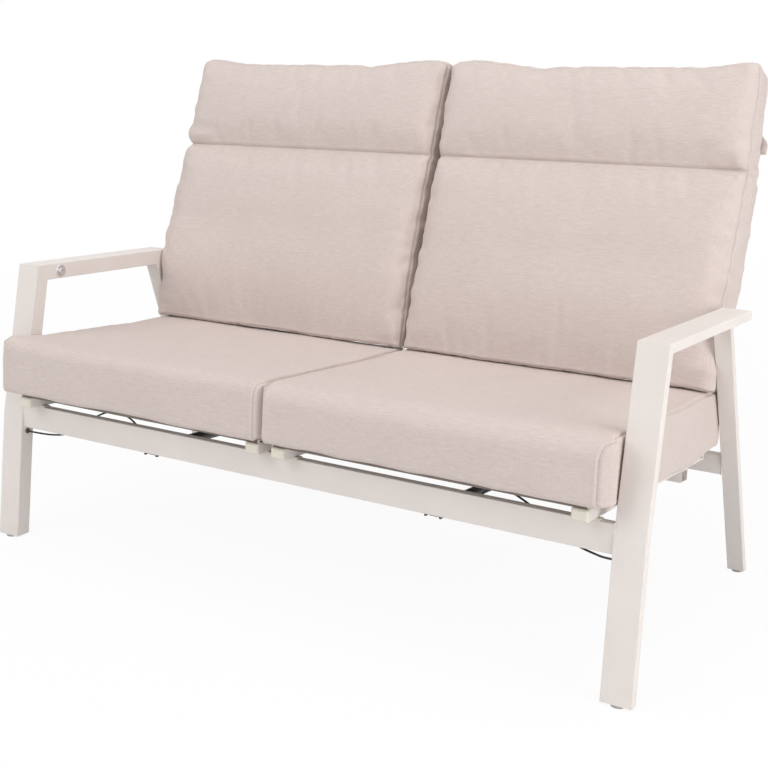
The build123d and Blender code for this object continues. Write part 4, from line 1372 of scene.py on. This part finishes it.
@dataclass
class HeadPocket:
    """Fabric pocket sewn behind the head part, which slips over the top of the back frame."""

    side: Side
    finish: Finish = CUSHION_COVER
    cells: tuple[int, int] = (72, 30)
    inner_x: float = 0.008
    outer_x: float = 0.724
    left_growth: float = 0.010
    right_growth: float = -0.020
    cloth: float = 0.0018
    low: float = 0.508
    top: float = 0.652
    front_depth: float = 0.0895
    rear_depth: float = 0.1188
    edge_round: float = 0.034
    edge_power: float = 0.8
    roof_share: float = 0.22
    roof_power: float = 0.7
    gape: float = 0.8
    gape_down: Span = (0.66, 0.86)
    flare: float = 0.018
    flare_start: float = 0.9
    sway: float = 0.0012
    hem_rise: float = 0.0025
    hem_stitch: float = 0.018
    stitch_width: float = 0.0015
    stitch_shade: float = 0.6

    def point(self, across: float, down: float) -> tuple[float, float, float]:
        """Point of the pocket from its shares.

        Args:
            across: Share from the inner to the outer side edge.
            down: Share from the top seam to the lower hem.

        Returns:
            The point in the back plane's coordinates.
        """
        growth = self.left_growth if self.side is Side.LEFT else self.right_growth
        width = self.outer_x - self.inner_x + growth
        x = self.inner_x + width * across
        edge = min(across, 1 - across) * width
        bulge = math.sin(min(1.0, edge / self.edge_round) * math.pi / 2) ** self.edge_power
        if across > 0.5:
            open_share = smooth_share(down, *self.gape_down)
            bulge = max(bulge, self.gape * open_share)
            x += self.flare * open_share * max(0.0, (across - self.flare_start) / (1 - self.flare_start))
        roof = math.sin(min(1.0, down / self.roof_share) * math.pi / 2) ** self.roof_power
        reach = (self.rear_depth - self.front_depth) * min(bulge, 1.0) * roof
        sway = self.sway * math.sin(9 * across + 2.0 * self.side.sign) * down
        up = self.top - (self.top - self.low) * down
        hem = self.hem_rise * math.sin(math.pi * across) * (down > 0.98)
        return x, self.front_depth + reach + sway * bulge, up + hem

    def build(self) -> None:
        """Make the pocket and sew it to its back."""
        name = self.side.of("head_pocket")
        piece = cloth_grid(name, self.cells, self.point, BACK_PLANE.matrix(), self.cloth, self.side)
        # Painted shade: a thin darker line along the hem's stitching.
        stitch = bell(read_points(piece.data)[:, 2] - self.low, self.hem_stitch, self.stitch_width)
        paint_mark(piece.data, "seam_groove_shade", stitch * self.stitch_shade)
        self.finish.on_piece(piece)
        frame = [self.side.of("back_tubes"), self.side.of("back_uprights")]
        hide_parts(self.side.of("head_hood"))
        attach(piece, self.side.of("back"))
        LOG.info("%s built", piece.name)


@dataclass
class BackSling:
    """Coated mesh stretched over the back frame and wrapped round its uprights."""

    side: Side
    finish: Finish = SLING_MESH
    low_x: float = 0.057
    high_x: float = 0.646
    front: float = 0.0911
    wrap_back: float = 0.1115
    side_gap: float = 0.0008
    low: float = 0.030
    top: float = 0.6135
    sag: float = 0.0045
    cloth: float = 0.0012
    tubes: tuple[float, ...] = (0.0426, 0.3425, 0.600)
    tube_hold: float = 0.045
    cells: tuple[int, int] = (60, 76)

    def point(self, up_share: float, across: float) -> tuple[float, float, float]:
        """Point of the sling from its shares.

        Args:
            up_share: Share from the lower to the upper edge.
            across: Share from one wrapped edge to the other.

        Returns:
            The point in the back plane's coordinates.
        """
        up = self.low + (self.top - self.low) * up_share
        wrap = self.wrap_back - self.front
        left = self.low_x - self.side_gap
        width = self.high_x - self.low_x + 2 * self.side_gap
        along = across * (width + 2 * wrap)
        if along < wrap:
            return left, self.wrap_back - along, up
        if along > wrap + width:
            return left + width, self.front + (along - wrap - width), up
        share = (along - wrap) / width
        between = 1.0
        for tube in self.tubes:
            between *= 1 - math.exp(-(((up - tube) / self.tube_hold) ** 2))
        return left + width * share, self.front + self.sag * math.sin(math.pi * share) * between, up

    def build(self) -> None:
        """Make the sling and stretch it over its back frame."""
        name = self.side.of("back_sling_mesh")
        piece = cloth_grid(name, self.cells, self.point, BACK_PLANE.matrix(), self.cloth, self.side)
        self.finish.on_piece(piece)
        frame = [self.side.of("back_uprights"), self.side.of("back_tubes")]
        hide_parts(self.side.of("back_sling"))
        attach(piece, self.side.of("back"))
        LOG.info("%s built", piece.name)


@dataclass
class SeatSling:
    """Coated mesh stretched over the two seat bars, turned down over their outer edges."""

    side: Side
    finish: Finish = SLING_MESH
    low_x: float = 0.021
    high_x: float = 0.682
    front: float = 0.0045
    rear: float = 0.5435
    bar_base: float = 0.0228
    up: float = 0.0315
    sag: float = 0.004
    cloth: float = 0.0014
    cells: tuple[int, int] = (60, 70)

    def point(self, across: float, along_share: float) -> tuple[float, float, float]:
        """Point of the sling from its shares.

        Args:
            across: Share from the inner to the outer edge.
            along_share: Share from the front hem to the rear hem.

        Returns:
            The point in the seat plane's coordinates.
        """
        turn = self.up - self.bar_base
        run = self.rear - self.front
        place = along_share * (run + 2 * turn)
        x = self.low_x + (self.high_x - self.low_x) * across
        if place < turn:
            return x, self.front, self.bar_base + place
        if place > turn + run:
            return x, self.rear, self.up - (place - turn - run)
        share = (place - turn) / run
        drop = self.sag * math.sin(math.pi * share) ** 0.8 * math.sin(math.pi * across) ** 0.6
        return x, self.front + run * share, self.up - drop

    def build(self) -> None:
        """Make the sling and stretch it over its seat bars."""
        name = self.side.of("seat_sling_mesh")
        piece = cloth_grid(name, self.cells, self.point, SEAT_PLANE.matrix(), self.cloth, self.side)
        self.finish.on_piece(piece)
        self.side.of("seat_bars")
        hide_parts(self.side.of("seat_sling"))
        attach(piece, self.side.of("seat"))
        LOG.info("%s built", piece.name)


@dataclass
class RailWelds:
    """Weld beads where the two cross rails meet the side frames."""

    side: Side
    finish: Finish = FRAME_COAT
    face_x: float = 0.720
    bead: float = 0.0019
    corner: float = 0.0025
    corner_steps: int = 6
    step: float = 0.0012
    ring: int = 10
    ripple: float = 0.12
    ripple_steps: float = 3.0

    def bead_path(self, low: Vector, high: Vector) -> list[Vector]:
        """Rounded rectangle round a rail's end, at the side frame's inner face.

        Args:
            low: Lowest corner of the rail.
            high: Highest corner of the rail.

        Returns:
            Points of the closed path.
        """
        path = []
        centres = ((high.y, high.z, 0), (low.y, high.z, 90), (low.y, low.z, 180), (high.y, low.z, 270))
        for y, z, start in centres:
            centre_y = y - math.copysign(self.corner, y - (low.y + high.y) / 2)
            centre_z = z - math.copysign(self.corner, z - (low.z + high.z) / 2)
            for step in range(self.corner_steps + 1):
                angle = math.radians(start + 90 * step / self.corner_steps)
                y_out, z_out = self.corner * math.cos(angle), self.corner * math.sin(angle)
                path.append(Vector((self.face_x * self.side.sign, centre_y + y_out, centre_z + z_out)))
        dense = []
        for here, after in zip(path, path[1:] + path[:1]):
            count = max(1, round((after - here).length / self.step))
            dense += [here.lerp(after, step / count) for step in range(count)]
        return dense

    def build(self) -> None:
        """Lay one bead round each rail's end."""
        points: list[Vector] = []
        faces: list[tuple[int, ...]] = []
        for rail in ("front_rail", "rear_rail"):
            low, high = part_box(rail)
            path = self.bead_path(low, high)
            middle = sum(path, Vector()) / len(path)
            first = len(points)
            for number, here in enumerate(path):
                outward = (here - middle).normalized()
                radius = self.bead * (1 + self.ripple * math.sin(number * 2 * math.pi / self.ripple_steps))
                for turn in range(self.ring):
                    angle = 2 * math.pi * turn / self.ring
                    inward = Vector((-self.side.sign, 0, 0))
                    points.append(here + outward * (radius * math.cos(angle)) + inward * (radius * math.sin(angle)))
            for number in range(len(path)):
                here, after = (first + place % len(path) * self.ring for place in (number, number + 1))
                for turn in range(self.ring):
                    other = (turn + 1) % self.ring
                    faces.append((here + turn, after + turn, after + other, here + other))
        piece = new_piece(self.side.of("rail_weld_beads"), np.array([tuple(p) for p in points]), faces)
        self.finish.on_piece(piece)
        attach(piece, "frame")
        LOG.info("%s built", piece.name)


@dataclass
class SideFrame:
    """Front post, arm and rear leg of one half, with its weld beads."""

    side: Side
    coat: Finish = FRAME_COAT
    nodes: tuple[str, ...] = ("front_post", "arm", "rear_leg")

    def dress(self) -> None:
        """Coat the side frame and lay its weld beads."""
        for node in self.nodes:
            self.coat.on_node(self.side.of(node))
        RailWelds(self.side).build()
        LOG.info("side frame %s coated", self.side.value)


@dataclass
class CrossParts:
    """Rails and fittings that belong to the whole frame."""

    finishes: dict[str, Finish] = field(default_factory=lambda: {
        "front_rail": FRAME_COAT,
        "rear_rail": FRAME_COAT,
        "arm_end_caps": FRAME_COAT,
        "recline_brackets": FRAME_COAT,
        "slide_pads": IVORY_PLASTIC,
        "foot_glides": GLIDE_PLASTIC,
        "cable_grommets": DARK_PLASTIC,
        "spring_brackets": BLACK_COAT,
        "spring_cylinders": BLACK_COAT,
        "release_heads": BLACK_COAT,
        "bracket_screws": ZINC_PLATE,
        "pivot_pins": ZINC_PLATE,
        "spring_bracket_screws": ZINC_PLATE,
        "spring_front_pins": ZINC_PLATE,
        "button_coils": ZINC_PLATE,
        "button_housings": BRIGHT_CHROME,
    })

    def dress(self) -> None:
        """Give each shared fitting its finish."""
        for node, finish in self.finishes.items():
            finish.on_node(node)
            LOG.info("%s dressed", node)


@dataclass
class ReclinerPlace:
    """One person's place: its seat frame, back frame, spring, release gear and soft goods."""

    side: Side
    finishes: dict[str, Finish] = field(default_factory=lambda: {
        "seat_side_rails": FRAME_COAT,
        "seat_rail_caps": IVORY_PLASTIC,
        "seat_bars": FRAME_COAT,
        "spring_cross_tube": FRAME_COAT,
        "back_uprights": FRAME_COAT,
        "back_tubes": FRAME_COAT,
        "hinge_plates": FRAME_COAT,
        "hinge_bolts": ZINC_PLATE,
        "spring_rod": GROUND_ROD,
        "spring_rear_pin": ZINC_PLATE,
        "release_lever": BLACK_COAT,
        "release_cable": CABLE_JACKET,
        "button": BRIGHT_CHROME,
    })

    def dress(self) -> None:
        """Give the place's rigid nodes their finishes."""
        for node, finish in self.finishes.items():
            finish.on_node(self.side.of(node))
        LOG.info("%s place dressed", self.side.value)

    def upholster(self) -> None:
        """Build the slings, cushions and pocket of the place."""
        SeatSling(self.side).build()
        BackSling(self.side).build()
        SeatCushion(self.side).build()
        BackCushion(self.side).build()
        HeadPocket(self.side).build()


@dataclass(frozen=True)
class Softbox:
    """Large soft lamp: its place, the side of its square panel and its power in watts."""

    name: str
    place: tuple[float, float, float]
    size: float
    power: float
    aim: tuple[float, float, float] = (0.0, 0.0, 0.5)

    def hang(self) -> None:
        """Hang the lamp and turn it to the point that it lights."""
        data = bpy.data.lights.new(self.name, "AREA")
        data.shape = "SQUARE"
        data.size = self.size
        data.energy = self.power
        lamp = bpy.data.objects.new(self.name, data)
        bpy.context.scene.collection.objects.link(lamp)
        lamp.location = self.place
        lamp.rotation_mode = "QUATERNION"
        lamp.rotation_quaternion = (Vector(self.aim) - Vector(self.place)).to_track_quat("-Z", "Y")


@dataclass
class Studio:
    """Pale floor, soft light and the camera."""

    floor_reach: float = 300.0
    floor_white: float = 0.93
    floor_fade: Span = (1.2, 4.5)
    floor_colour: Colour = (0.86, 0.86, 0.86)
    sky_colour: Colour = (0.985, 0.993, 1.0)
    sky_strength: float = 0.54
    camera_place: tuple[float, float, float] = (1.5316, -2.33115, 1.1290)
    yaw: float = 0.5716
    pitch: float = 0.2239
    roll: float = -0.0086
    lens: float = 61.52
    shift: Span = (-0.0056, -0.0701)
    lamps: tuple[Softbox, ...] = (
        Softbox("key_softbox", (-2.2, -4.4, 3.6), 3.4, 101.0),
        Softbox("top_softbox", (0.3, -0.2, 4.6), 3.6, 70.0, (0.0, 0.0, 0.4)),
        Softbox("fill_softbox", (3.4, -0.8, 1.4), 2.4, 56.0),
    )

    def seen_share(self, tree: bpy.types.NodeTree) -> Socket:
        """1 for camera, glossy and transmission rays.

        Args:
            tree: The graph to add the nodes to.

        Returns:
            The share.
        """
        path = tree.nodes.new("ShaderNodeLightPath")
        share = path.outputs["Is Camera Ray"]
        for ray in ("Is Glossy Ray", "Is Transmission Ray"):
            either = tree.nodes.new("ShaderNodeMath")
            either.operation = "MAXIMUM"
            tree.links.new(share, either.inputs[0])
            tree.links.new(path.outputs[ray], either.inputs[1])
            share = either.outputs[0]
        return share

    def mix_surfaces(
        self, tree: bpy.types.NodeTree, share: Socket, lit: bpy.types.Node, seen: bpy.types.Node
    ) -> None:
        """Mix what lights the set with what the camera sees, and put it out as the surface.

        Args:
            tree: The graph to add the nodes to.
            share: Share of what the camera sees.
            lit: Shader for the light.
            seen: Shader for the camera.
        """
        mix = tree.nodes.new("ShaderNodeMixShader")
        tree.links.new(share, mix.inputs["Fac"])
        tree.links.new(lit.outputs[0], mix.inputs[1])
        tree.links.new(seen.outputs[0], mix.inputs[2])
        out = next(node for node in tree.nodes if node.name in ("World Output", "Material Output"))
        tree.links.new(mix.outputs[0], out.inputs["Surface"])

    def build_sky(self) -> None:
        """White surroundings that light the set evenly."""
        world = bpy.data.worlds.new("white_studio")
        bpy.context.scene.world = world
        world.use_nodes = True
        tree = world.node_tree
        light = tree.nodes["Background"]
        light.inputs["Color"].default_value = (*self.sky_colour, 1.0)
        light.inputs["Strength"].default_value = self.sky_strength
        seen = tree.nodes.new("ShaderNodeBackground")
        seen.inputs["Color"].default_value = (1.0, 1.0, 1.0, 1.0)
        self.mix_surfaces(tree, self.seen_share(tree), light, seen)

    def build_floor(self) -> None:
        """White floor that keeps a soft shadow."""
        reach = self.floor_reach
        signs = ((-1, -1), (1, -1), (1, 1), (-1, 1))
        corners = np.array([(x * reach, y * reach, 0.0) for x, y in signs])
        floor = new_piece("studio_floor", corners, [(0, 1, 2, 3)])
        material = bpy.data.materials.new("white_floor")
        material.use_nodes = True
        tree = material.node_tree
        shader = tree.nodes["Principled BSDF"]
        shader.inputs["Base Color"].default_value = (*self.floor_colour, 1.0)
        shader.inputs["Roughness"].default_value = 0.9
        shader.inputs["Specular IOR Level"].default_value = 0.0
        seen = tree.nodes.new("ShaderNodeEmission")
        seen.inputs["Strength"].default_value = 1.0
        away = tree.nodes.new("ShaderNodeVectorMath")
        away.operation = "LENGTH"
        tree.links.new(tree.nodes.new("ShaderNodeTexCoord").outputs["Object"], away.inputs[0])
        white = tree.nodes.new("ShaderNodeMapRange")
        tree.links.new(away.outputs["Value"], white.inputs["Value"])
        ends = (*self.floor_fade, self.floor_white, 1.0)
        for name, number in zip(("From Min", "From Max", "To Min", "To Max"), ends):
            white.inputs[name].default_value = number
        share = tree.nodes.new("ShaderNodeMath")
        share.operation = "MULTIPLY"
        tree.links.new(self.seen_share(tree), share.inputs[0])
        tree.links.new(white.outputs["Result"], share.inputs[1])
        self.mix_surfaces(tree, share.outputs[0], shader, seen)
        floor.data.materials.append(material)

    def build_camera(self) -> None:
        """Camera at the photograph's place."""
        data = bpy.data.cameras.new("photo_camera")
        data.sensor_width = 36.0
        data.sensor_fit = "HORIZONTAL"
        data.lens = self.lens
        data.shift_x, data.shift_y = self.shift
        camera = bpy.data.objects.new("photo_camera", data)
        bpy.context.scene.collection.objects.link(camera)
        turns = ((self.yaw, "Z"), (math.pi / 2 - self.pitch, "X"), (self.roll, "Z"))
        yaw, pitch, roll = (Matrix.Rotation(angle, 4, axis) for angle, axis in turns)
        camera.matrix_world = Matrix.Translation(self.camera_place) @ (yaw @ pitch @ roll)
        bpy.context.scene.camera = camera

    def build(self) -> None:
        """Set up the whole studio."""
        bpy.context.scene.view_settings.view_transform = "Standard"
        self.build_sky()
        self.build_floor()
        for lamp in self.lamps:
            lamp.hang()
        self.build_camera()
        LOG.info("studio built")


def main() -> None:
    """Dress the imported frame, build its soft goods and set up the studio."""
    logging.basicConfig(level=logging.INFO, format="%(name)s: %(message)s")
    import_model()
    for side in Side:
        SideFrame(side).dress()
    CrossParts().dress()
    for side in Side:
        place = ReclinerPlace(side)
        place.dress()
        place.upholster()
    Studio().build()


if __name__ == "__main__":
    main()
